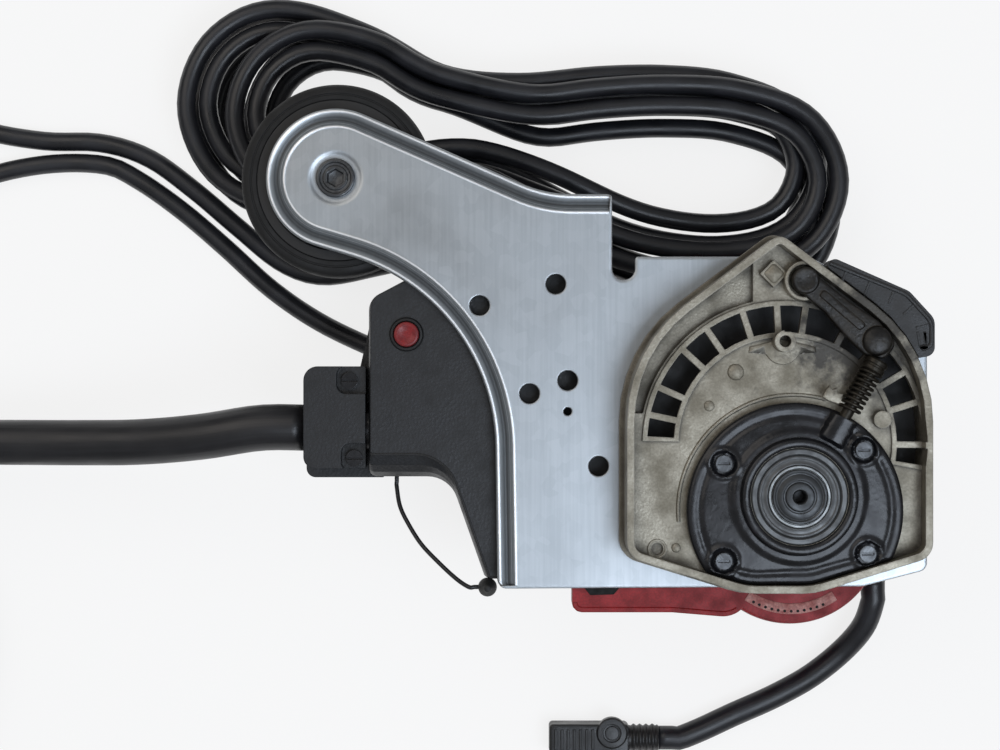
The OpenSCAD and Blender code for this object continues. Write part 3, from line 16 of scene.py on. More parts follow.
import bmesh
import bpy
import numpy as np
from mathutils.geometry import tessellate_polygon
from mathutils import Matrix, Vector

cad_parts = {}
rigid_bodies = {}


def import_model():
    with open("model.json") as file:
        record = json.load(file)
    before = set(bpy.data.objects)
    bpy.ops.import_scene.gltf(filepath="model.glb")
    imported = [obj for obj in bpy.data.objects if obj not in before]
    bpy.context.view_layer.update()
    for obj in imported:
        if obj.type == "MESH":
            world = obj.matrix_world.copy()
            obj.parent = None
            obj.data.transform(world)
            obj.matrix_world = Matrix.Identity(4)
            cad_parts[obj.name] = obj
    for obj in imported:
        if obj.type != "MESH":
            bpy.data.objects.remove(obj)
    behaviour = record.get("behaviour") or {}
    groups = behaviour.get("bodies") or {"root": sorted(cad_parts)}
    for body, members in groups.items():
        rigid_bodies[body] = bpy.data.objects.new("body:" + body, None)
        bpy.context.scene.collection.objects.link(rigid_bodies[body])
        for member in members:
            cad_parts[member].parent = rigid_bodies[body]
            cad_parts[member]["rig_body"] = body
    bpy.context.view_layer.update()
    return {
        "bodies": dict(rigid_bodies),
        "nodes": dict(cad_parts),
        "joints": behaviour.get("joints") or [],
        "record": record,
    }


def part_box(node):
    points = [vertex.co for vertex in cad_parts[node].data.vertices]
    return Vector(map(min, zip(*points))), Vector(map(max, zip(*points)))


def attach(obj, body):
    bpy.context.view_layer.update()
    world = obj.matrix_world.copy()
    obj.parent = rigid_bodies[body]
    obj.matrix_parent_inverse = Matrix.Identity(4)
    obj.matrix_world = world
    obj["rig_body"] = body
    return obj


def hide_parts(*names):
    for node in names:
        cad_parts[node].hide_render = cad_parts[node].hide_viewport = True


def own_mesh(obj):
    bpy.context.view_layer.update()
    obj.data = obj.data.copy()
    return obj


log = logging.getLogger("flex_shaft_unit")

MM = 0.001
CORD_RADIUS_MM = 4.3
LEAD_RADIUS_MM = 5.5
SHEATH_RADIUS_MM = 10.0

Piece = bpy.types.Object
Socket = bpy.types.NodeSocket
Tree = bpy.types.NodeTree
Flat = tuple[float, float]
Point = tuple[float, float, float]


# ---------------------------------------------------------------- shapes in numpy


def mm(points: Any) -> np.ndarray:
    """Returns points given in millimetres as an array in metres."""
    return np.asarray(points, float) * MM


def unit(v: np.ndarray) -> np.ndarray:
    """Returns each vector divided by its own length."""
    return v / np.maximum(np.linalg.norm(v, axis=-1, keepdims=True), 1e-12)


def ease(x: np.ndarray) -> np.ndarray:
    """Smooth step: 3s^2 - 2s^3 of x held between 0 and 1."""
    s = np.clip(x, 0, 1)
    return s * s * (3 - 2 * s)


def circle(sides: int) -> np.ndarray:
    """Returns evenly spaced angles of a full turn."""
    return np.arange(sides) * 2 * np.pi / sides


def lifted(flat: np.ndarray, z: float) -> np.ndarray:
    """Returns points of X and Y with one height added to them all."""
    return np.column_stack([flat, np.full(len(flat), z)])


def spline(a: np.ndarray, b: np.ndarray, c: np.ndarray, d: np.ndarray, t: np.ndarray) -> np.ndarray:
    """Catmull-Rom curve between b and c.

    It is a cubic whose slopes at its ends are half of the way from a to c and from b to d.

    Args:
        a: points before the stretch.
        b: where it starts.
        c: where it ends.
        d: points after it.
        t: how far along it, from 0 to 1.

    Returns:
        The curve's points.
    """
    square, cube = t**2, t**3
    return 0.5 * (2 * b + (c - a) * t + (2 * a - 5 * b + 4 * c - d) * square
                  + (3 * b - a - 3 * c + d) * cube)


def route(points: Any, steps: int) -> np.ndarray:
    """Smooth route through its own points.

    Args:
        points: points of the route, one row each.
        steps: pieces for each stretch between two points.

    Returns:
        The points of the smooth route, one row each.
    """
    points = np.asarray(points, float)
    last = len(points) - 1
    i = np.repeat(np.arange(last), steps)
    t = np.tile(np.arange(steps) / steps, last)[:, None]
    before, after = points[np.maximum(i - 1, 0)], points[np.minimum(i + 2, last)]
    return np.vstack([spline(before, points[i], points[i + 1], after, t), points[-1:]])


def travelled(path: np.ndarray) -> np.ndarray:
    """Returns how long the path is from its start to each of its points."""
    return np.concatenate([[0], np.cumsum(np.linalg.norm(np.diff(path, axis=0), axis=1))])


def evenly(path: np.ndarray, step: float) -> np.ndarray:
    """The same path with its points evenly apart, by linear steps of its length.

    Args:
        path: points of the path, one row each.
        step: about how far apart the new points are.

    Returns:
        The new points, with both ends kept.
    """
    run = travelled(path)
    at = np.linspace(0, run[-1], max(2, int(run[-1] / step) + 1))
    return np.stack([np.interp(at, run, path[:, k]) for k in range(3)], axis=1)


def heading(path: np.ndarray) -> np.ndarray:
    """Returns the unit direction at each point, from the point before to the point after."""
    ends = np.vstack([path[:1], path, path[-1:]])
    return unit(ends[2:] - ends[:-2])


def arc(centre: Any, radius: float, from_deg: float, to_deg: float, z: float = 0.0,
        steps: int = 40) -> np.ndarray:
    """Level arc, whose point at angle a is the centre + radius (cos a, sin a).

    Args:
        centre: X and Y of its centre.
        radius: its radius.
        from_deg: angle of its first point.
        to_deg: angle of its last point.
        z: its height.
        steps: how many points it has.

    Returns:
        The arc's points, one row each.
    """
    a = np.radians(np.linspace(from_deg, to_deg, steps))
    return np.stack([centre[0] + radius * np.cos(a), centre[1] + radius * np.sin(a),
                     np.full(steps, z)], 1)


def disc(centre: Any, radius: float, to_deg: float = 352, steps: int = 32) -> np.ndarray:
    """Returns the outline of a disc as X and Y, open by its last step."""
    return arc(centre, radius, 0, to_deg, 0, steps)[:, :2]


def bends(points: np.ndarray, step_deg: float) -> tuple[np.ndarray, ...]:
    """How a closed outline turns at its corners.

    Args:
        points: X and Y of each corner.
        step_deg: how far a corner's arc turns between two points.

    Returns:
        The unit directions before and after each corner and how far it bends, in radians; then,
        for each point of the arcs, its corner's number and how far along the arc it is.
    """
    u, v = unit(points - np.roll(points, 1, 0)), unit(np.roll(points, -1, 0) - points)
    bend = np.arctan2(u[:, 0] * v[:, 1] - u[:, 1] * v[:, 0], (u * v).sum(1))
    steps = np.maximum(2, np.ceil(np.abs(np.degrees(bend)) / step_deg)).astype(int)
    which = np.repeat(np.arange(len(points)), steps + 1)
    return u, v, bend, which, np.concatenate([np.arange(n + 1) / n for n in steps])


def rounded(corners: Any, step_deg: float = 6.0) -> np.ndarray:
    """Outline with rounded corners.

    Each corner's arc touches both of its edges, so its centre is a radius off them on the side
    to which the outline turns.

    Args:
        corners: X, Y and radius of each, counter-clockwise.
        step_deg: how far the arcs turn between two points.

    Returns:
        The outline's points.
    """
    c = np.asarray(corners, float)
    p, r = c[:, :2], c[:, 2]
    u, _, bend, which, share = bends(p, step_deg)
    side = np.sign(bend)
    centre = p - u * (r * np.tan(np.abs(bend) / 2))[:, None]
    centre = centre + (side * r)[:, None] * np.stack([-u[:, 1], u[:, 0]], 1)
    start = np.arctan2(-side * u[:, 0], side * u[:, 1])
    a = start[which] + bend[which] * share
    return centre[which] + r[which, None] * np.stack([np.cos(a), np.sin(a)], 1)


def inset(corners: Any, distance: Any) -> np.ndarray:
    """Corners with each edge moved inwards along its normal, so that a corner moves along both
    of its edges by what the other edge moved, over the sine of the bend.

    Args:
        corners: X, Y and radius of each, counter-clockwise.
        distance: how far the edges move, one for all, or one for the edge after each corner.

    Returns:
        The moved corners, with their radii made smaller where the outline turns inwards.
    """
    smallest = 0.3
    c = np.asarray(corners, float)
    p = c[:, :2]
    after = np.broadcast_to(np.asarray(distance, float), len(c))
    before = np.roll(after, 1)
    u, v = unit(p - np.roll(p, 1, 0)), unit(np.roll(p, -1, 0) - p)
    k = u[:, 0] * v[:, 1] - u[:, 1] * v[:, 0]
    moved = p + (before[:, None] * v - after[:, None] * u) / k[:, None]
    return np.column_stack(
        [moved, np.maximum(smallest, c[:, 2] - np.sign(k) * (before + after) / 2)])


def turned(rows: Any, base: Any = (0, 0, 0), axis: Any = (0, 0, 1), sides: int = 96,
           factor: Any = 1.0) -> np.ndarray:
    """Body of revolution.

    A point at angle a of the row (r, h) is base + h axis + r (cos a u + sin a v), where u and
    v are square to the axis and to each other.

    Args:
        rows: radius and height of each row, in millimetres.
        base: where the axis starts.
        axis: its direction.
        sides: points in each row.
        factor: scale of the radius, one number or rows by sides of them.

    Returns:
        The grid of points.
    """
    rows = np.asarray(rows, float)
    w = unit(np.asarray(axis, float))
    u = unit(np.cross(w, [0, 1, 0] if abs(w[1]) < 0.9 else [1, 0, 0]))
    v = np.cross(w, u)
    a = circle(sides)
    r = rows[:, :1] * np.broadcast_to(factor, (len(rows), sides))
    return (np.asarray(base, float) + rows[:, 1, None, None] * w + r[:, :, None]
            * (np.cos(a)[None, :, None] * u + np.sin(a)[None, :, None] * v))


def pillow(outline: np.ndarray, low: float, high: float, edge: float = 1.0, crown: float = 0.3,
           centre: Any = None) -> np.ndarray:
    """Block over an outline with a rounded upper edge and a crowned top.

    The wall rises from low, the edge turns in on a quarter circle of radius edge, and the top
    shrinks towards the centre while it rises by crown (1 - f squared), where f goes from 1 at
    the edge to 0 at the centre.

    Args:
        outline: points of the outline.
        low: height of the bottom.
        high: height of the top at its edge.
        edge: radius of the edge.
        crown: how much higher the middle is.
        centre: the point to which the top shrinks; the outline's middle if None.

    Returns:
        The grid of points.
    """
    centre = outline.mean(0) if centre is None else np.asarray(centre, float)
    reach = np.linalg.norm(outline - centre, axis=1).mean()
    turn = np.linspace(0, np.pi / 2, 5)
    across = edge + (reach - edge) * np.array([0.2, 0.5, 0.8, 0.98])
    shrink = 1 - np.concatenate([[0], edge * (1 - np.cos(turn)), across]) / reach
    f = shrink[-len(across):] / (1 - edge / reach)
    z = np.concatenate([[low], high - edge + edge * np.sin(turn), high + crown * (1 - f**2)])
    flat = centre + shrink[:, None, None] * (outline - centre)[None]
    return np.concatenate([flat, np.broadcast_to(z[:, None, None], (*flat.shape[:2], 1))], -1)


def ridge(path: np.ndarray, half: list[Flat]) -> np.ndarray:
    """Ridge along a level path.

    Its section is the given half and that half mirrored. A point of it stands (side, height)
    off the path, where side is level and square to the path.

    Args:
        path: points of the middle line, in millimetres.
        half: side and height of the section's right half, from its foot up.

    Returns:
        The grid of points.
    """
    foot, rest = half[0], half[:0:-1]
    section = np.array([(-foot[0], foot[1]), *half, *((-side, height) for side, height in rest)])
    side = unit(np.cross(heading(path), [0, 0, 1.0]))
    return path[:, None] + section[None, :, :1] * side[:, None] + section[None, :, 1:] * np.array(
        [0, 0, 1.0])


def tube(path: np.ndarray, radius: float, sides: int) -> np.ndarray:
    """Round section carried along a path that is never upright.

    A point at angle a on the ring at p is p + r (cos a side + sin a up), where side is level
    and square to the path, and up is square to both.

    Args:
        path: points of the middle line.
        radius: the section's radius.
        sides: points round the section.

    Returns:
        The grid of points.
    """
    along = heading(path)
    side = unit(np.cross(along, [0, 0, 1.0]))
    up = np.cross(side, along)
    a = circle(sides)
    return path[:, None] + radius * (
        np.cos(a)[None, :, None] * side[:, None] + np.sin(a)[None, :, None] * up[:, None])


def grid_faces(rows: int, columns: int, ring: bool = False) -> np.ndarray:
    """Four-sided faces of a grid of points, in rows that close on themselves.

    Args:
        rows: how many rows the grid has.
        columns: how many points each row has.
        ring: whether the last row also meets the first.

    Returns:
        The numbers of each face's points.
    """
    r, c = np.meshgrid(np.arange(rows if ring else rows - 1), np.arange(columns), indexing="ij")
    n, up = (c + 1) % columns, (r + 1) % rows
    return np.stack([r * columns + c, r * columns + n, up * columns + n, up * columns + c],
                    -1).reshape(-1, 4)


def new_piece(name: str, vertices: np.ndarray, faces: np.ndarray | list, uv: np.ndarray
              | None = None, smooth: Any = True, sharp_deg: float = 180.0) -> Piece:
    """Makes a mesh object at the origin.

    Args:
        name: the piece's name.
        vertices: one row of three metres each.
        faces: rows of vertex numbers, all turning the same way round.
        uv: one row of two numbers for each vertex, in metres along the surface, or None.
        smooth: whether faces are shaded smooth, one answer or one for each face.
        sharp_deg: edges that bend more than this stay sharp.

    Returns:
        The object, linked to the scene, with its faces pointing outwards.
    """
    mesh = bpy.data.meshes.new(name)
    mesh.from_pydata(np.asarray(vertices, float).tolist(), [], [list(map(int, f)) for f in faces])
    if uv is not None:
        corner = np.empty(len(mesh.loops), np.int32)
        mesh.loops.foreach_get("vertex_index", corner)
        mesh.uv_layers.new(name="surface").data.foreach_set(
            "uv", uv[corner].astype(np.float32).ravel())
    work = bmesh.new()
    work.from_mesh(mesh)
    bmesh.ops.recalc_face_normals(work, faces=work.faces)
    work.to_mesh(mesh)
    work.free()
    mesh.polygons.foreach_set("use_smooth", np.ones(len(mesh.polygons), bool))
    if sharp_deg < 180:
        mesh.set_sharp_from_angle(angle=math.radians(sharp_deg))
    mesh.polygons.foreach_set("use_smooth", np.array(np.broadcast_to(smooth, len(mesh.polygons))))
    made = bpy.data.objects.new(name, mesh)
    bpy.context.scene.collection.objects.link(made)
    return made


def skin(name: str, grids: list[np.ndarray], ring: bool = False, sharp_deg: float = 35.0) -> Piece:
    """Closed bodies in one piece, each a grid of rows that close on themselves.

    Args:
        name: the piece's name.
        grids: for each body its points in millimetres, rows by columns by three.
        ring: whether the last row meets the first; otherwise both get a flat cap.
        sharp_deg: edges that bend more than this stay sharp.

    Returns:
        The new piece.
    """
    faces, first = [], 0
    for grid in grids:
        rows, columns = grid.shape[:2]
        faces += (grid_faces(rows, columns, ring) + first).tolist()
        last = first + rows * columns
        if not ring:
            faces += [list(range(first, first + columns))[::-1], list(range(last - columns, last))]
        first = last
    return new_piece(name, mm(np.vstack([grid.reshape(-1, 3) for grid in grids])), faces,
                     sharp_deg=sharp_deg)


def swept(name: str, path: np.ndarray, radius: float, sides: int) -> Piece:
    """Round body along a path, as in tube, with both ends closed.

    Args:
        name: the piece's name.
        path: points of the middle line, in metres.
        radius: its radius.
        sides: points round the section.

    Returns:
        The new piece, with a UV map in metres: round the section, then along the path.
    """
    round_about = np.abs(circle(sides) / np.pi - 1) * np.pi * radius
    uv = np.stack(
        np.broadcast_arrays(round_about[None], travelled(path)[:, None]), -1).reshape(-1, 2)
    faces = grid_faces(len(path), sides)[:, ::-1].tolist()
    faces += [list(range(sides)), list(range((len(path) - 1) * sides, len(path) * sides))[::-1]]
    return new_piece(name, tube(path, radius, sides).reshape(-1, 3), faces, uv)


# ---------------------------------------------------------------- finishes


def linear(colour: str) -> tuple[float, float, float, float]:
    """Turns a colour to linear light, by the sRGB curve: a straight foot, then a power of 2.4.

    Args:
        colour: the colour as sRGB hex.

    Returns:
        Linear red, green and blue, and an alpha of 1.
    """
    parts = np.array([int(colour[i : i + 2], 16) for i in (1, 3, 5)]) / 255
    values = np.where(parts <= 0.04045, parts / 12.92, ((parts + 0.055) / 1.055) ** 2.4)
    return (*values.tolist(), 1.0)


def add(tree: Tree, kind: str, links: dict | list | tuple = (), **settings: Any) -> bpy.types.Node:
    """Adds one shader node.

    Args:
        tree: the node tree that takes it.
        kind: the node's type without its leading "ShaderNode".
        links: for its sockets, in their order or by name or number, a value or the output
            socket that feeds them.
        settings: the node's own properties.

    Returns:
        The new node.
    """
    made = tree.nodes.new("ShaderNode" + kind)
    for name, value in settings.items():
        setattr(made, name, value)
    for key, value in links.items() if isinstance(links, dict) else enumerate(links):
        if isinstance(value, Socket):
            tree.links.new(value, made.inputs[key])
        else:
            made.inputs[key].default_value = value
    return made


class Space(Enum):
    """What a finish's pattern follows: the piece's place, or its own surface map."""

    PLACE = "Object"
    SURFACE = "UV"


@dataclass(frozen=True)
class Finish:
    """A surface: ground colour, larger patches, fine figure, worn edges and painted shade in
    corners.

    The sizes that end in _mm are real ones: patch_mm is a patch's width, grain_mm the figure's,
    relief_mm its depth, edge_mm how far wear reaches from an edge, and the shade's reach in mm
    how near a wall the painted shade of corners falls. A share is 0 for none and 1 for full
    strength, and more for what the patches break up. The roughness swings by roughness_swing with
    the patches. specular is below its usual 0.5 where dust takes the gloss off a colour.
    """

    name: str
    colour: str
    patch_colour: str
    # worn colour: edge wear; on the sheet it is also the painted highlight
    worn_and_highlight_colour: str
    metallic: float = 0.0
    roughness: float = 0.5
    roughness_swing: float = 0.1
    patch_mm: float = 14.0
    patch_share: float = 0.6
    grain_mm: float = 0.6
    figure_colour: str = "#000000"
    figure_share: float = 0.15
    relief_mm: float = 0.03
    edge_mm: float = 0.4
    edge_share: float = 0.5
    space: Space = Space.PLACE
    # painted shade of corners, by ambient occlusion: colour (shared with oil and groove shade),
    # strength, reach
    shade_and_grime_colour: str = "#1b1916"
    corner_shade_share: float = 0.0
    shade_reach_mm: float = 3.0
    specular: float = 0.5

    def shade_and_soil(self, tree: Tree, place: Socket, patches: Socket) -> Any:
        """Painted shade: darker in corners that the piece's own walls hide, by ambient occlusion,
        times what the patches leave.

        Args:
            tree: the material's nodes.
            place: the point's place; not used here.
            patches: the patches' noise.

        Returns:
            The share of painted shade, from 0 to 1.
        """
        # painted shade: ambient occlusion of the piece's own walls darkens its corners
        hidden = add(tree, "AmbientOcclusion", {"Distance": self.shade_reach_mm * MM}, samples=6,
                     only_local=True)
        corner = add(tree, "MapRange", [hidden.outputs["AO"], 0.92, 0.5, 0.0,
                                        self.corner_shade_share]).outputs[0]
        thick = add(tree, "MapRange", [patches, 0.3, 0.6, 0.45, 1.0]).outputs[0]
        return add(tree, "Math", [corner, thick], operation="MULTIPLY").outputs[0]

    def wear_and_highlight(self, tree: Tree, place: Socket, edges: Any) -> Any:
        """Returns the share of worn colour, from 0 to 1: that of the edges alone."""
        return edges

    def figure(self, tree: Tree, place: Socket) -> Socket:
        """Even grain.

        Args:
            tree: the material's nodes.
            place: the point's place.

        Returns:
            The figure, between 0 and 1.
        """
        return add(tree, "TexNoise", {"Vector": place, "Scale": 1000 / self.grain_mm,
                                      "Detail": 3.0}).outputs["Fac"]

    def material(self) -> bpy.types.Material:
        """Builds the finish: ground, patches, figure, worn edges and painted shade, each over the
        last.

        Returns:
            The new material, with roughness that follows the patches and bump that follows the
            figure.
        """
        made = bpy.data.materials.new(self.name)
        made.use_nodes = True
        tree = made.node_tree
        tree.nodes.clear()
        place = add(tree, "TexCoord").outputs[self.space.value]
        patches = add(tree, "TexNoise", {"Vector": place, "Scale": 1000 / self.patch_mm,
                                         "Detail": 4.0}).outputs["Fac"]
        clouds = add(tree, "MapRange", [patches, 0.38, 0.66, 0.0, self.patch_share]).outputs[0]
        fine = self.figure(tree, place)
        drawn = add(tree, "MapRange", [fine, 0.35, 0.65, 0.0, self.figure_share]).outputs[0]
        softened = add(tree, "Bevel", {"Radius": self.edge_mm * MM}, samples=4).outputs[0]
        facing = add(tree, "VectorMath", [softened, add(tree, "NewGeometry").outputs["Normal"]],
                     operation="DOT_PRODUCT").outputs["Value"]
        worn = add(tree, "MapRange", [facing, 0.99, 0.8, 0.0, self.edge_share]).outputs[0]
        edges = add(tree, "Math", [worn, patches], operation="MULTIPLY").outputs[0]
        # worn colour over edge wear, and over the sheet's painted highlight
        layers = [(clouds, self.patch_colour), (drawn, self.figure_colour),
                  (self.wear_and_highlight(tree, place, edges), self.worn_and_highlight_colour)]
        metallic: Any = self.metallic
        # painted shade of corners, with the oil or the groove's painted shade of some finishes
        if self.corner_shade_share > 0:
            shade_and_grime = self.shade_and_soil(tree, place, patches)
            layers.append((shade_and_grime, self.shade_and_grime_colour))
            if self.metallic > 0:
                metallic = add(tree, "MapRange", {"Value": shade_and_grime, "To Min": self.metallic,
                                                  "To Max": self.metallic * 0.3}).outputs[0]
        colour: Any = linear(self.colour)
        for share, over in layers:
            colour = add(tree, "Mix", {0: share, 6: colour, 7: linear(over)},
                         data_type="RGBA").outputs[2]
        rough = add(tree, "MapRange", [patches, 0.3, 0.7, self.roughness - self.roughness_swing,
                                       self.roughness + self.roughness_swing]).outputs[0]
        bump = add(tree, "Bump", {"Height": fine, "Normal": softened, "Distance": self.relief_mm
                                  * MM, "Strength": 1.0}).outputs[0]
        shader = add(tree, "BsdfPrincipled", {
            "Base Color": colour, "Roughness": rough, "Metallic": metallic,
            "Specular IOR Level": self.specular, "Normal": bump})
        add(tree, "OutputMaterial", {"Surface": shader.outputs[0]})
        return made


@dataclass(frozen=True)
class RolledSheet(Finish):
    """Zinc-coated steel sheet: cool and satin, with faint zinc crystals and rolling lines.

    Painted shade darkens the rim's groove, between the heights groove_mm. A painted highlight
    lightens the rim's bead, between the bead's heights, and the step up to the panel, from the
    step's heights on.
    """

    crystal_mm: float = 5.0
    streak_mm: float = 1.2
    # heights of the painted shade in the rim's groove
    groove_mm: Flat = (92.35, 93.25)
    # heights of the painted highlight on the bead and on the step, and how soft its edges are
    bead_highlight_mm: Flat = (93.38, 93.6)
    step_highlight_mm: Flat = (95.02, 95.12)
    highlight_fade_mm: float = 0.06

    def shade_and_soil(self, tree: Tree, place: Socket, patches: Socket) -> Any:
        """Painted shade of the corners or of the groove, whichever is more; the groove's shade
        fades upwards.

        Args:
            tree: the material's nodes.
            place: the point's place.
            patches: the patches' noise.

        Returns:
            The share of painted shade, from 0 to 1.
        """
        corner = super().shade_and_soil(tree, place, patches)
        height = add(tree, "SeparateXYZ", [place]).outputs[2]
        low, high = (v * MM for v in self.groove_mm)
        # painted shade: the groove is darkened by height alone, most at its bottom
        filled = add(tree, "MapRange", [height, low, high, 0.86, 0.0]).outputs[0]
        above = add(tree, "MapRange", [height, low - 0.7 * MM, low - 0.4 * MM])
        groove_shade = add(tree, "Math", [filled, above.outputs[0]], operation="MULTIPLY").outputs[0]
        return add(tree, "Math", [corner, groove_shade], operation="MAXIMUM").outputs[0]

    def wear_and_highlight(self, tree: Tree, place: Socket, edges: Any) -> Any:
        """Worn edges, painted highlight on the bead and on the step: whichever is most.

        Args:
            tree: the material's nodes.
            place: the point's place.
            edges: the share of worn colour at the edges.

        Returns:
            The share of worn colour and painted highlight, from 0 to 1.
        """
        # painted highlight: the bead and the step up to the panel are lightened by height alone
        height = add(tree, "SeparateXYZ", [place]).outputs[2]
        low, high, foot, top, fade = (v * MM for v in (*self.bead_highlight_mm, *self.step_highlight_mm, self.highlight_fade_mm))
        step = add(tree, "MapRange", [height, foot, top, 0.0, 0.95]).outputs[0]
        over = add(tree, "MapRange", [height, low, low + fade]).outputs[0]
        under = add(tree, "MapRange", [height, high, high + fade, 0.9, 0.0]).outputs[0]
        bead = add(tree, "Math", [over, under], operation="MULTIPLY").outputs[0]
        bright = add(tree, "Math", [step, bead], operation="MAXIMUM").outputs[0]
        return add(tree, "Math", [edges, bright], operation="MAXIMUM").outputs[0]

    def figure(self, tree: Tree, place: Socket) -> Socket:
        """Crystals of one even shade each, times 0.22, plus 0.78 times lines drawn out along Y.

        Args:
            tree: the material's nodes.
            place: the point's place.

        Returns:
            The figure, between 0 and 1.
        """
        crystals = add(tree, "TexVoronoi", {"Vector": place, "Scale": 1000 / self.crystal_mm})
        shade = add(tree, "SeparateColor", [crystals.outputs["Color"]]).outputs[0]
        drawn = add(tree, "Mapping", {"Vector": place, "Scale": (1.0, 0.025, 1.0)}).outputs[0]
        lines = add(tree, "TexNoise", {"Vector": drawn, "Scale": 1000 / self.streak_mm,
                                       "Detail": 4.0}).outputs["Fac"]
        soft = add(tree, "Math", [shade, 0.22], operation="MULTIPLY").outputs[0]
        return add(tree, "Math", [lines, 0.78, soft], operation="MULTIPLY_ADD").outputs[0]


@dataclass(frozen=True)
class CastAlloy(Finish):
    """Die-cast alloy: a dull skin with small pits, an oil stain, and painted shade in its corners.

    Oil has spread over oily_reach metres round the place oily_at, in blotches of blotch_mm.
    """

    pit_mm: float = 2.2
    oily_at: Point = (0.0, 0.0, 0.0)
    oily_reach: float = 0.0
    blotch_mm: float = 1000 / 130

    def shade_and_soil(self, tree: Tree, place: Socket, patches: Socket) -> Any:
        """Painted shade of the corners, or oil: nearness to one place plus noise, cut off sharply.

        Args:
            tree: the material's nodes.
            place: the point's place.
            patches: the patches' noise.

        Returns:
            The share of painted shade and oil, from 0 to 1.
        """
        corner = super().shade_and_soil(tree, place, patches)
        if not self.oily_reach:
            return corner
        off = add(tree, "Mapping",
                  {"Vector": place, "Location": tuple(-v for v in self.oily_at)}).outputs[0]
        away = add(tree, "VectorMath", [off], operation="LENGTH").outputs["Value"]
        near = add(tree, "MapRange", [away, 0.2 * self.oily_reach, self.oily_reach, 0.62,
                                      0.0]).outputs[0]
        blotch = add(tree, "TexNoise", {"Vector": place, "Scale": 1000 / self.blotch_mm,
                                        "Detail": 5.0, "Roughness": 0.65}).outputs["Fac"]
        wet = add(tree, "Math", [near, blotch], operation="ADD").outputs[0]
        oily = add(tree, "MapRange", [wet, 0.66, 0.95, 0.0, 0.92])
        return add(tree, "Math", [corner, oily.outputs[0]], operation="MAXIMUM").outputs[0]

    def figure(self, tree: Tree, place: Socket) -> Socket:
        """Grain of the skin with rounded pits: noise times the distance from scattered points.

        Args:
            tree: the material's nodes.
            place: the point's place.

        Returns:
            The figure, between 0 and 1.
        """
        grain = add(tree, "TexNoise", {"Vector": place, "Scale": 1000 / self.grain_mm,
                                       "Detail": 5.0}).outputs["Fac"]
        pits = add(tree, "TexVoronoi",
                   {"Vector": place, "Scale": 1000 / self.pit_mm}).outputs["Distance"]
        deep = add(tree, "MapRange", [pits, 0.0, 0.35]).outputs[0]
        return add(tree, "Math", [grain, deep], operation="MULTIPLY").outputs[0]


@dataclass(frozen=True)
class TurnedSteel(Finish):
    """Turned or ground steel: bright, with fine rings ring_mm wide round its own upright axis."""

    axis: Flat = (0.0, 0.0)
    ring_mm: float = 0.5

    def figure(self, tree: Tree, place: Socket) -> Socket:
        """Rings: noise read at the distance from the axis and the height alone.

        Args:
            tree: the material's nodes.
            place: the point's place.

        Returns:
            The figure, between 0 and 1.
        """
        centred = add(tree, "Mapping", {
            "Vector": place, "Location": (-self.axis[0], -self.axis[1], 0.0)}).outputs[0]
        parts = add(tree, "SeparateXYZ", [centred]).outputs
        flat = add(tree, "CombineXYZ", [parts[0], parts[1]]).outputs[0]
        out = add(tree, "VectorMath", [flat], operation="LENGTH").outputs["Value"]
        read = add(tree, "CombineXYZ", [out, parts[2]]).outputs[0]
        return add(tree, "TexNoise", {"Vector": read, "Scale": 1000 / self.ring_mm,
                                      "Detail": 2.0}).outputs["Fac"]


@dataclass(frozen=True)
class Banded(Finish):
    """Stacked laminations or laid windings: even bands, band_mm wide, across one direction."""

    band_mm: float = 0.8
    across: Point = (0.0, 0.0, 1.0)

    def figure(self, tree: Tree, place: Socket) -> Socket:
        """Bands: 0.35 times a sine wave of the place along one direction, plus noise.

        Args:
            tree: the material's nodes.
            place: the point's place.

        Returns:
            The figure.
        """
        run = add(tree, "VectorMath", [place, self.across],
                  operation="DOT_PRODUCT").outputs["Value"]
        turns = add(tree, "Math", [run, 2000 * math.pi / self.band_mm],
                    operation="MULTIPLY").outputs[0]
        wave = add(tree, "Math", [turns], operation="SINE").outputs[0]
        noise = add(tree, "TexNoise",
                    {"Vector": place, "Scale": 1000 / self.grain_mm}).outputs["Fac"]
        return add(tree, "Math", [wave, 0.35, noise], operation="MULTIPLY_ADD").outputs[0]


@dataclass(frozen=True)
class Moulded(Finish):
    """Moulded plastic or rubber: the fine eroded texture of its mould, in cells of cell_mm."""

    cell_mm: float = 0.9

    def figure(self, tree: Tree, place: Socket) -> Socket:
        """Mould texture: half noise, half distance from scattered points.

        Args:
            tree: the material's nodes.
            place: the point's place.

        Returns:
            The figure, between 0 and 1.
        """
        noise = add(tree, "TexNoise", {"Vector": place, "Scale": 1000 / self.grain_mm,
                                       "Detail": 4.0}).outputs["Fac"]
        cells = add(tree, "TexVoronoi",
                    {"Vector": place, "Scale": 1000 / self.cell_mm}).outputs["Distance"]
        half = add(tree, "Math", [cells, 0.5], operation="MULTIPLY").outputs[0]
        return add(tree, "Math", [noise, 0.5, half], operation="MULTIPLY_ADD").outputs[0]


@dataclass(frozen=True)
class ExtrudedJacket(Finish):
    """Rubber jacket of a cord: drawn lines along it and chalky scuffs, on its surface map."""

    space: Space = Space.SURFACE

    def figure(self, tree: Tree, place: Socket) -> Socket:
        """Returns the figure, between 0 and 1: noise drawn out 20 times along the cord."""
        drawn = add(tree, "Mapping", {"Vector": place, "Scale": (1.0, 0.05, 1.0)}).outputs[0]
        return add(tree, "TexNoise", {"Vector": drawn, "Scale": 1000 / self.grain_mm,
                                      "Detail": 3.0}).outputs["Fac"]


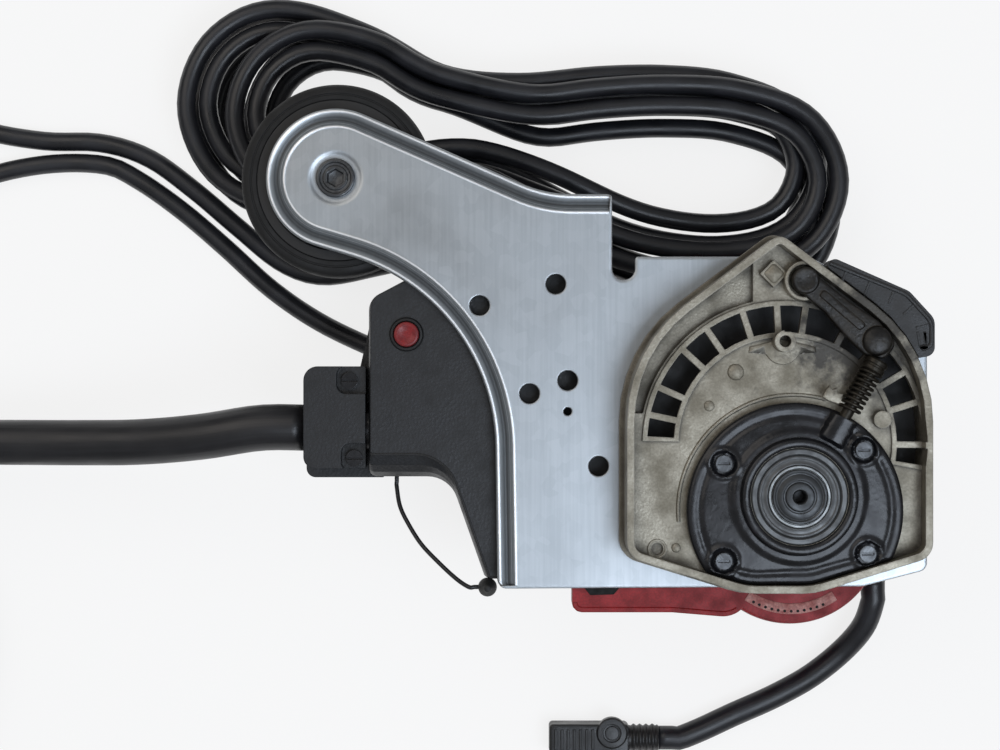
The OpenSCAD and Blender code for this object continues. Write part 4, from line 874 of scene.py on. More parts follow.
FINISHES: tuple[Finish, ...] = (
    # zinc-coated sheet, cold rolled: satin blue-grey with darker clouds; pale edge wear, and
    # painted highlight on the edges, the bead and the step; painted shade in the groove and the
    # corners
    RolledSheet("galvanised_sheet", "#b3b8bc", "#a3a9ae", "#f6f8fa", 1.0, 0.4, patch_mm=60,
                patch_share=0.5, figure_colour="#8d9398", figure_share=0.28, relief_mm=0.01,
                edge_mm=0.7, edge_share=1.6, shade_and_grime_colour="#25282a", corner_shade_share=0.95,
                shade_reach_mm=2.2),
    # zinc-plated fasteners: pale and slightly warm
    TurnedSteel("zinc_steel", "#b9bab8", "#9d9c96", "#dcdcd8", 1.0, 0.32, patch_mm=5,
                figure_colour="#77766f", figure_share=0.25, relief_mm=0.01),
    # machine screws, oiled and gone dark in use
    TurnedSteel("screw_steel", "#5d5f61", "#3d3d3f", "#a3a5a7", 0.9, 0.34, patch_mm=4,
                figure_colour="#2c2c2d", figure_share=0.45, relief_mm=0.01),
    # ground bearing steel: bright with very fine rings
    TurnedSteel("bearing_steel", "#c2c4c4", "#a5a7a6", "#eceded", 1.0, 0.22, patch_mm=9,
                figure_colour="#7f8080", figure_share=0.3, relief_mm=0.006, edge_mm=0.3),
    # hardened spindle: dark grey with ground rings
    TurnedSteel("spindle_steel", "#4c4e50", "#343536", "#8d8f90", 0.8, 0.4, patch_mm=5,
                figure_colour="#323334", figure_share=0.5, relief_mm=0.01, edge_mm=0.3),
    # hobbed gear steel under old grease: a warm grey
    TurnedSteel("gear_steel", "#8d8b86", "#68645e", "#c2c0bb", 1.0, 0.34, patch_mm=6,
                figure_colour="#4e4a45", figure_share=0.3, relief_mm=0.01, edge_mm=0.2),
    # spring wire in oil: brown-black with a faint shine
    Finish("spring_steel", "#3a352d", "#211f1b", "#7d7566", 0.7, 0.4, patch_mm=3, grain_mm=0.5,
           figure_colour="#151310", figure_share=0.5, relief_mm=0.03, edge_mm=0.25),
    # brushed steel of the handpiece: bright rings round its axis
    TurnedSteel("brushed_metal", "#aeb0b1", "#94979a", "#d9dbdc", 1.0, 0.3, patch_mm=12,
                figure_colour="#7b7e80", figure_share=0.4, relief_mm=0.008, axis=(-0.475, -0.2),
                ring_mm=0.4),
    # die-cast alloy with a dull, slightly warm skin, an oil stain and painted shade in its corners
    CastAlloy("cast_metal", "#a19b8d", "#7a7466", "#d0ccc1", 0.6, 0.46, patch_mm=13,
              patch_share=0.85, grain_mm=0.9, figure_colour="#5b5548", figure_share=0.35,
              relief_mm=0.08, edge_mm=0.8, edge_share=1.3, shade_and_grime_colour="#2a2620", corner_shade_share=0.85,
              shade_reach_mm=5.0, oily_at=(0.026, 0.068, 0.115), oily_reach=0.04),
    # painted cast cover: black stove enamel over a cast skin
    CastAlloy("black_metal", "#17181b", "#26262a", "#77777a", 0.2, 0.27, patch_mm=9,
              patch_share=0.7, grain_mm=2.6, figure_colour="#0b0b0d", figure_share=0.4,
              relief_mm=0.08, edge_mm=0.5, edge_share=0.5, pit_mm=4.0),
    # the same casting where oil and dust have set on it: brown-black and dull in patches
    CastAlloy("oily_casting", "#161412", "#2e2a24", "#6f675b", 0.3, 0.4, patch_mm=5,
              patch_share=0.8, grain_mm=1.4, figure_colour="#0c0b0a", figure_share=0.5,
              relief_mm=0.16, edge_mm=0.5, edge_share=0.6),
    # ring and seal faces under a film of grease
    TurnedSteel("greased_steel", "#666869", "#525354", "#8a8b8c", 0.7, 0.46, patch_mm=5,
                patch_share=0.8, figure_colour="#3a3a3b", figure_share=0.35, relief_mm=0.01,
                edge_mm=0.3, edge_share=0.7),
    # inner ring, rubbed bright and then dulled by dust
    TurnedSteel("rubbed_ring", "#8f9191", "#747676", "#b9bbbb", 1.0, 0.4, patch_mm=5,
                figure_colour="#5d5e5e", figure_share=0.3, relief_mm=0.006, edge_mm=0.2),
    # painted shade: near-black for openings, laid on as thin discs and skins
    Moulded("painted_shade_black", "#060606", "#0b0b0b", "#1a1919", 0.0, 0.8, patch_mm=3),
    # the red nylon under grinding dust: chalky pink
    Moulded("dusty_red", "#c0847a", "#9c4a45", "#e0bab0", 0.0, 0.55, patch_mm=4, patch_share=0.9,
            figure_colour="#5a1f1d", figure_share=0.4, relief_mm=0.08, edge_mm=0.6, edge_share=0.9),
    # sintered bronze bush: warm and smooth
    TurnedSteel("bronze", "#9c7a45", "#80602f", "#c9a66a", 1.0, 0.3, patch_mm=5),
    # brass holders and pins: yellow and smooth
    TurnedSteel("brass", "#c2a45e", "#a5863f", "#e3c988", 1.0, 0.26, patch_mm=5, figure_share=0.2,
                figure_colour="#6d5727", relief_mm=0.008),
    # enamelled copper wire: laid turns under varnish
    Banded("copper", "#b4673a", "#8a4724", "#d68f60", 0.9, 0.28, patch_mm=7, grain_mm=1.4,
           figure_colour="#4e230f", figure_share=0.55, relief_mm=0.12, band_mm=1.0),
    # stacked electrical sheet: grey with fine dark lines
    Banded("armature_iron", "#77757a", "#575459", "#a5a4a8", 1.0, 0.4, patch_mm=8,
           figure_colour="#302d30", figure_share=0.5, relief_mm=0.04, band_mm=1.0),
    Banded("core_iron", "#66656a", "#4a484c", "#93929a", 1.0, 0.45, patch_mm=8,
           figure_colour="#29272a", figure_share=0.5, relief_mm=0.04, band_mm=1.0),
    # pressed carbon brush: matt dark grey
    Finish("carbon", "#2a2a2c", "#3a3a3d", "#6f6f73", 0.2, 0.5, patch_mm=3, grain_mm=0.4),
    # fan moulded in grey nylon: plain and satin
    Moulded("fan_plastic", "#2c2e31", "#212327", "#6a6e73", 0.0, 0.42, patch_mm=10),
    # glass-filled nylon, moulded in red, with dust rubbed in and painted shade in its corners
    Moulded("red_housing", "#a02226", "#68191c", "#c98b85", 0.0, 0.44, patch_mm=8, patch_share=0.75,
            figure_colour="#4a1414", figure_share=0.3, relief_mm=0.05, edge_mm=0.6, edge_share=0.6,
            shade_and_grime_colour="#2a1312", corner_shade_share=0.7, specular=0.25),
    # black ABS: lightly grained, dusty on its flats
    Moulded("black_plastic", "#1d1d1e", "#2c2b2a", "#5c5a57", 0.0, 0.42, patch_mm=7, relief_mm=0.06,
            edge_mm=0.5),
    # black nylon shells: coarse spark-eroded grain, rubbed grey at the edges; painted shade in
    # corners
    Moulded("handle_plastic", "#1b1d21", "#131417", "#585b60", 0.0, 0.46, patch_mm=9,
            patch_share=0.7, figure_colour="#0a0a0b", figure_share=0.4, relief_mm=0.11,
            grain_mm=0.8, cell_mm=1.3, edge_mm=0.9, edge_share=0.5, corner_shade_share=0.6),
    # trigger, rubbed smooth by the finger
    Moulded("trigger_plastic", "#1c1c1d", "#121213", "#4c4b4c", 0.0, 0.36, patch_mm=8),
    # phenolic switch body: dull and even
    Moulded("switch_plastic", "#1b1b1c", "#101011", "#4b4a4a", 0.0, 0.4, patch_mm=9,
            relief_mm=0.05),
    # red button: smooth and a little faded
    Moulded("red_button", "#8e2a2c", "#641c20", "#c77873", 0.0, 0.36, patch_mm=3, edge_mm=0.5,
            edge_share=0.6, specular=0.35),
    # wheel hub in black nylon: satin
    Moulded("wheel_plastic", "#19191a", "#111112", "#454545", 0.0, 0.42, patch_mm=9),
    # tyre rubber: black and quite dull
    Moulded("tyre_rubber", "#0e0e0f", "#181716", "#353433", 0.0, 0.7, patch_mm=9, relief_mm=0.08,
            cell_mm=1.4),
    # soft seals and grommets: dull black
    Moulded("gasket_rubber", "#141415", "#1f1f1f", "#3d3c3b", 0.0, 0.6, patch_mm=6),
    # bearing seal: dull rubber with moulded rings
    TurnedSteel("seal_rubber", "#151516", "#232220", "#45433f", 0.0, 0.45, patch_mm=5, ring_mm=0.9,
                figure_share=0.2, relief_mm=0.03),
    # thick rubber sheath: drawn lines and chalky patches
    ExtrudedJacket("sheath_rubber", "#1d1d20", "#2b2a2c", "#4c4b4d", 0.0, 0.4, patch_mm=22,
                   patch_share=0.55, grain_mm=1.6, figure_colour="#0b0b0c", figure_share=0.35,
                   relief_mm=0.08, edge_mm=0.5),
    # rubber cord: bluish black with a soft sheen
    ExtrudedJacket("cord_rubber", "#1b1c20", "#2c2d33", "#4c4d50", 0.0, 0.36, patch_mm=16,
                   patch_share=0.55, grain_mm=1.2, figure_colour="#0a0a0b", figure_share=0.35,
                   relief_mm=0.06, edge_mm=0.4),
)


class Workshop:
    """Holds the frame and the finishes, and puts every new piece in its place."""

    def __init__(self, frame: dict[str, Any]) -> None:
        """Builds the material of every finish.
        """
        self.frame = frame
        self.slots = {part["node"]: part["material_slot"] for part in frame["record"]["subparts"]}
        self.materials = {finish.name: finish.material() for finish in FINISHES}

    def dress(self, piece: Piece, finish: str) -> None:
        """Gives a piece the material of one finish."""
        piece.data.materials.clear()
        piece.data.materials.append(self.materials[finish])

    def dress_nodes(self) -> None:
        """Gives every node of the frame the material of its own slot."""
        for node, slot in self.slots.items():
            self.dress(self.frame["nodes"][node], slot)

    def place(self, piece: Piece, slot: str, *replaced: str, body: str = "frame",
              finish: str = "") -> Piece:
        """Dresses a new piece, lets it ride and tells which nodes it stands for.

        Args:
            piece: the new piece.
            slot: the record's slot for it.
            replaced: nodes that it replaces.
            body: the body that it moves with.
            finish: its finish, where that isn't the slot's own.

        Returns:
            The same piece.
        """
        self.dress(piece, finish or slot)
        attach(piece, body)
        if replaced:
            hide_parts(*replaced)
        log.info("%s: %d faces, stands for %s", piece.name, len(piece.data.polygons),
                 ", ".join(replaced) or "nothing")
        return piece

    def stand_for(self, piece: Piece, *nodes: str, finish: str = "") -> Piece:
        """Places a piece for CAD nodes, with the slot and the body of the first.

        Args:
            piece: the new piece.
            nodes: the nodes that it replaces.
            finish: its finish, where that isn't the slot's own.

        Returns:
            The same piece.
        """
        body = self.frame["nodes"][nodes[0]]["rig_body"]
        return self.place(piece, self.slots[nodes[0]], *nodes, body=body, finish=finish)


@dataclass
class Assembly:
    """A group of the unit's pieces, which a workshop dresses and places."""

    shop: Workshop


# ---------------------------------------------------------------- camera and light


@dataclass
class Studio:
    """Pale floor, soft light and the camera straight above the unit, in metres."""

    camera_at: Point = (-0.1224, 0.0498, 1.1)
    view_width: float = 0.42
    view_height: float = 0.095
    sensor_mm: float = 36.0
    aim_height: float = 0.05
    floor_colour: str = "#fdfdfd"
    floor_size: float = 40.0
    plain_share: float = 0.82
    world_colour: str = "#f2f3f5"
    horizon: float = 0.12
    zenith: float = 0.42

    def build(self) -> None:
        """Makes the camera, the floor, the lamps and the world."""
        self.build_camera()
        self.build_floor()
        self.build_lamp("window", (0.34, -0.36, 1.35), 0.75, 9.0, "#e4f0ff")
        self.build_lamp("fill", (-0.75, 0.65, 1.15), 1.0, 3.8, "#fff6ec")
        self.build_world()

    def build_camera(self) -> None:
        """Camera whose picture is view_width wide at view_height above the floor."""
        data = bpy.data.cameras.new("camera")
        data.sensor_width = self.sensor_mm
        data.lens = self.sensor_mm * (self.camera_at[2] - self.view_height) / self.view_width
        camera = bpy.data.objects.new("camera", data)
        camera.location = self.camera_at
        bpy.context.scene.collection.objects.link(camera)
        bpy.context.scene.camera = camera

    def build_floor(self) -> None:
        """Flat floor that keeps its shadows: what the camera sees of it, straight or in metal, is
        plain by plain_share and lit by the rest."""
        half = self.floor_size / 2
        x, y = self.camera_at[:2]
        corners = np.array([(x - half, y - half, 0), (x + half, y - half, 0),
                            (x + half, y + half, 0), (x - half, y + half, 0)])
        floor = new_piece("floor", corners, [[0, 1, 2, 3]])
        made = bpy.data.materials.new("floor")
        made.use_nodes = True
        tree = made.node_tree
        tree.nodes.clear()
        colour = linear(self.floor_colour)
        lit = add(tree, "BsdfDiffuse", {"Color": colour}).outputs[0]
        plain = add(tree, "Emission", {"Color": colour, "Strength": 1.0}).outputs[0]
        seen = add(tree, "LightPath").outputs
        either = add(tree, "Math", [seen["Is Camera Ray"], seen["Is Glossy Ray"]],
                     operation="MAXIMUM").outputs[0]
        any_of = add(tree, "Math", [either, seen["Is Transmission Ray"]],
                     operation="MAXIMUM").outputs[0]
        share = add(tree, "Math", [any_of, self.plain_share], operation="MULTIPLY").outputs[0]
        mixed = add(tree, "MixShader", [share, lit, plain])
        add(tree, "OutputMaterial", {"Surface": mixed.outputs[0]})
        floor.data.materials.append(made)

    def build_lamp(self, name: str, at: Point, size: float, power: float, tint: str) -> None:
        """Square soft lamp that faces the middle of the view.

        Args:
            name: the lamp's name.
            at: where it hangs.
            size: its side.
            power: its power in watts.
            tint: its colour.
        """
        data = bpy.data.lights.new(name, "AREA")
        data.size = size
        data.energy = power
        data.color = linear(tint)[:3]
        lamp = bpy.data.objects.new(name, data)
        aim = np.array([self.camera_at[0], self.camera_at[1], self.aim_height]) - np.array(at)
        lamp.location = at
        lamp.rotation_euler = (math.acos(-aim[2] / np.linalg.norm(aim)), 0.0,
                               math.atan2(aim[1], aim[0]) - math.pi / 2)
        bpy.context.scene.collection.objects.link(lamp)

    def build_world(self) -> None:
        """Pale world that is darker towards the horizon, so that metal has something to show."""
        world = bpy.data.worlds.new("studio")
        world.use_nodes = True
        tree = world.node_tree
        tree.nodes.clear()
        up = add(tree, "SeparateXYZ", [add(tree, "TexCoord").outputs["Generated"]]).outputs[2]
        level = add(tree, "MapRange", [up, 0.05, 0.75, self.horizon, self.zenith]).outputs[0]
        sky = add(tree, "Background", {"Color": linear(self.world_colour), "Strength": level})
        add(tree, "OutputWorld", {"Surface": sky.outputs[0]})
        bpy.context.scene.world = world
        bpy.context.scene.view_settings.view_transform = "Standard"


# ---------------------------------------------------------------- cords


@dataclass
class Ends(Assembly):
    """What the cords and the flexible shaft end in: plug, handpiece grip and connector.

    Rows are the radius and the height of each ring of a turned body, in millimetres.
    """

    plug_at: Point = (-112, 50, 17.5)
    plug_ribs: int = 24
    plug_rows: tuple[Flat, ...] = (
        (5.3, 0.1), (5.7, 4), (5.2, 5), (6.0, 9), (5.5, 10), (6.5, 14), (6.1, 15), (9.0, 18),
        (12.0, 20.5), (15.4, 26), (17.0, 29), (17.45, 30.5), (17.45, 41.5), (16.9, 43.2),
        (16.0, 44.0), (13.2, 44.0), (12.8, 43.4), (1.0, 43.4))
    hand_at: Point = (-475, -200.75, 10)
    hand_along: Point = (0.987735, -0.156138, 0)
    grip_mm: Flat = (27, 91)
    socket_at: Point = (-50, -116, 6.5)
    box: tuple[Point, ...] = ((-100, -123, 1.8), (-63.5, -123, 2.4), (-63.5, -109, 2.4),
                              (-100, -109, 1.8))
    box_top: float = 12.3
    boss_rows: tuple[Flat, ...] = ((7.0, 8.0), (7.0, 12.6), (6.4, 13.3), (4.2, 13.4), (4.0, 12.7),
                                   (3.2, 12.6), (3.0, 13.2), (0.6, 13.3))

    def plug(self) -> Piece:
        """Makes the plug's body: a stepped sleeve, then a head ribbed where it is held.

        The ribs scale the radius by 1 - 0.05 times a smooth comb of the angle.

        Returns:
            The new piece.
        """
        sides = 96
        comb = ease((np.cos(circle(sides) * self.plug_ribs) + 0.2) / 0.8)
        factor = np.ones((len(self.plug_rows), sides))
        factor[8:13] = 1 - (1 - comb) * 0.05
        body = turned(self.plug_rows, self.plug_at, (1, 0, 0), sides, factor)
        return self.shop.stand_for(skin("plug_body", [body]), "mains_plug")

    def grip(self) -> Piece:
        """Makes the handpiece's rubber grip: a sleeve that swells along half a sine wave, with
        shallow rings along a faster one.

        Returns:
            The new piece.
        """
        first, last = self.grip_mm
        run = np.linspace(first, last, 66)
        swell = 9.45 + 0.4 * np.sin((run - first) / (last - first) * np.pi)
        ringed = swell - 0.45 * ease(np.sin(run * 1.9) * 1.3 - 0.2)
        rows = [(8.45, 26), (9.1, 26.2), *zip(ringed.tolist(), run.tolist()), (9.3, 92.5),
                (9.2, 98), (9.1, 113), (8.7, 115.6), (8.45, 116)]
        return self.shop.stand_for(
            skin("grip_sleeve", [turned(rows, self.hand_at, self.hand_along, 72)], True),
            "handpiece_grip")

    def connector(self) -> Piece:
        """Makes the connector: ringed barrel, box with finger grooves, and the screw's boss.

        Returns:
            The new piece.
        """
        run = np.linspace(0.6, 13.2, 40)
        ringed = 6.1 + 0.4 * np.cos(run * 2.2)
        barrel = turned([(5.4, 0.0), *zip(ringed.tolist(), run.tolist()), (6.0, 14.0)],
                        self.socket_at, (-1, 0, 0), 48)
        parts = [barrel, pillow(rounded(self.box), 0.0, self.box_top, 1.2, 0.2)]
        for x in np.arange(-97.0, -80.0, 2.8):
            line = np.array([x, -120.5, self.box_top]) + np.linspace(0, 9, 8)[:, None] * [0, 1.0, 0]
            parts.append(ridge(line, [(0.7, -0.6), (0.45, 0.5)]))
        parts.append(turned(self.boss_rows, (-71.5, -113, 0), sides=56))
        return self.shop.stand_for(skin("connector_shell", parts), "lead_connector")


@dataclass
class MainsCord(Assembly):
    """The mains cord in one piece: out of its gland, eight loops of hank, then a long tail.

    The hank's loops follow one closed middle line. Each next loop lies a pitch further in or
    out, and after every second loop it climbs one layer.
    """

    loop_mm: tuple[Flat, ...] = (
        (-137, 141), (-178, 136), (-218, 133), (-242, 143), (-253, 168), (-244, 193), (-220, 205),
        (-182, 196), (-150, 180), (-113, 176), (-78, 180), (-46, 181), (-15, 178), (13, 165),
        (24, 137), (13, 109), (-15, 98), (-58, 102), (-100, 122))
    shifts_mm: tuple[tuple[float, ...], ...] = (
        (0, 0, 0, 0, 0), (-3, -15, -8, 20, -6), (-6, 0, 12, -3, 3), (-2, -7, 6, 14, -4))
    pitch_mm: float = 9.8
    rise_mm: float = 9.2
    start_turn: float = -0.14
    end_turn: float = 7 + 17.5 / 19
    exit_mm: Point = (8, 47.5, 10.5)

    def base(self, turn: np.ndarray) -> np.ndarray:
        """Middle line: a closed Catmull-Rom curve through the loop's points, one turn long.

        Args:
            turn: how many turns on from the loop's first point.

        Returns:
            X and Y at each turn.
        """
        points = np.array(self.loop_mm, float)
        n = len(points)
        s = (turn - np.floor(turn)) * n
        i = np.floor(s).astype(int) % n
        t = (s - np.floor(s))[:, None]
        return spline(points[(i - 1) % n], points[i], points[(i + 1) % n], points[(i + 2) % n], t)

    def changed(self, turn: np.ndarray, begin: float, width: float) -> np.ndarray:
        """Returns the share of each layer change that is done at each turn, one column for each."""
        return ease((turn[:, None] - 2 * np.arange(1, 4)[None] - begin) / width)

    def hank(self, turn: np.ndarray) -> np.ndarray:
        """Points of the hank.

        The point is the middle line's, moved out along its normal by the strand's place, then
        each layer is shifted a little by itself, and its height is a radius above the floor
        plus a rise for each layer climbed. A layer's shift is five numbers: X at the right, Y
        at the upper right, Y at the lower right, X at the left and Y at the left.

        Args:
            turn: how many turns on from the loop's first point.

        Returns:
            The points in millimetres.
        """
        b = self.base(turn)
        d = unit(self.base(turn + 0.01) - self.base(turn - 0.01))
        fold = np.where(turn < 0, 2 - turn, np.abs(turn % 4 - 2)) - 1
        p = b + self.pitch_mm * fold[:, None] * np.stack([-d[:, 1], d[:, 0]], 1)
        shift = self.changed(turn, -0.05, 0.1) @ np.diff(np.array(self.shifts_mm, float), axis=0)
        right = ease((p[:, 0] + 150) / 55)
        left = ease((-160 - p[:, 0]) / 50)
        up = np.clip((b[:, 1] - 98) / 82, 0, 1)
        x = p[:, 0] + right * shift[:, 0] * ease((p[:, 0] + 60) / 60) + left * shift[:, 3]
        y = p[:, 1] + right * (shift[:, 1] * up + shift[:, 2] * (1 - up)) + left * shift[:, 4]
        z = CORD_RADIUS_MM + self.rise_mm * self.changed(turn, -0.17, 0.14).sum(1)
        return np.stack([x, y, z], 1)

    def path(self) -> np.ndarray:
        """Whole middle line: smooth routes from the gland to the hank and from it to the plug.

        Returns:
            The points in metres.
        """
        hank = self.hank(np.linspace(self.start_turn, self.end_turn, 1100))
        start, end = hank[0], hank[-1]
        inward, outward = unit(hank[1] - hank[0]), unit(hank[-1] - hank[-2])
        exit_at, plug, r = np.array(self.exit_mm), np.array(Ends.plug_at), CORD_RADIUS_MM
        feed = [exit_at, exit_at + [0, 4, 0], exit_at + [0, 7, 0], [7.3, 65, 7.2], [0, 76.5, 4.6],
                [-10, 81.5, r], start - 9 * inward, start - 5 * inward, start]
        tail = [end, end + 6 * outward, end + 9 * outward, [-122, 109, 28], [-150, 105, 20],
                [-178, 99, 12], [-203, 95, 5.8], [-222, 101, r], [-242, 117, r], [-262, 134, r],
                [-283, 149, r], [-305, 156, r], [-332, 157, r], [-362, 163, r], [-392, 178, r],
                [-424, 180, r], [-446, 158, r], [-441, 132, r], [-418, 119, r], [-390, 125, r],
                [-362, 139, r], [-332, 146, r], [-304, 146, r], [-288, 139, r], [-268, 125, r],
                [-248, 108, r], [-227, 89, r], [-205, 74, r], [-180, 62, 6], [-155, 52.5, 13],
                [-132, 50, 17.1], plug + [-9, 0, 0], plug + [-6, 0, 0], plug]
        return mm(np.vstack([route(feed, 6)[:-1], hank, route(tail, 8)[1:]]))

    def build(self) -> None:
        path, nodes = self.path(), self.shop.frame["nodes"]
        cord = self.shop.place(swept("mains_cord", evenly(path, 0.005), CORD_RADIUS_MM * MM, 14),
                               "cord_rubber", "cord_feed", "cord_hank", "cord_tail")
        Ends(self.shop).plug()


@dataclass
class FlexShaft(Assembly):
    """The flexible shaft's sheath: out of the handle's clamp, down to the floor and coiled."""

    run_mm: tuple[Point, ...] = ((-206, 27, 66), (-226, 27, 66), (-252, 23, 61), (-280, 20.5, 53),
                                 (-309, 20, 46), (-345, 20, 40), (-380, 20, 36), (-405, 20, 33),
                                 (-424, 20, 30.6), (-440, 20, 28), (-458, 20, 28))
    coil_mm: Flat = (-475, -75)
    coil_radius_mm: float = 95.0
    coil_growth_mm: float = 20.5
    coil_turns: float = 1.5
    coil_top_mm: float = 28.0

    def path(self) -> np.ndarray:
        """Middle line: the run, then a flat spiral whose radius grows with its turns.

        The spiral's height eases from coil_top_mm to a radius above the floor in 0.3 turns.

        Returns:
            The points in metres.
        """
        turn = np.linspace(0, self.coil_turns, 100)
        angle = np.pi / 2 + 2 * np.pi * turn
        radius = self.coil_radius_mm + self.coil_growth_mm * turn
        z = self.coil_top_mm - (self.coil_top_mm - SHEATH_RADIUS_MM) * ease(turn / 0.3)
        coil = np.stack([self.coil_mm[0] + radius * np.cos(angle),
                         self.coil_mm[1] + radius * np.sin(angle), z], 1)
        return mm(np.vstack([route(self.run_mm, 8), coil]))

    def build(self) -> None:
        path, nodes = self.path(), self.shop.frame["nodes"]
        sheath = self.shop.place(
            swept("shaft_sheath_tube", evenly(path, 0.006), SHEATH_RADIUS_MM * MM, 28),
            "sheath_rubber", "shaft_sheath", "shaft_coil")
        Ends(self.shop).grip()


@dataclass
class ControlLead(Assembly):
    """The short lead from the motor to its connector on the floor."""

    points_mm: tuple[Point, ...] = (
        (46, -42, 19), (46, -49, 19), (46, -52, 19), (42.5, -64, 14.5), (33.5, -76, 9),
        (19, -88, 6.6), (2, -97.5, 5.7), (-16, -105.5, 5.7), (-30, -112, 5.9), (-40, -116, 6),
        (-43, -116, 6), (-50, -116, 6))

    def build(self) -> None:
        path = mm(route(self.points_mm, 8))
        lead = self.shop.place(
            swept("control_lead_tube", evenly(path, 0.003), LEAD_RADIUS_MM * MM, 20),
            "cord_rubber", "control_lead")
        Ends(self.shop).connector()


# ---------------------------------------------------------------- plate


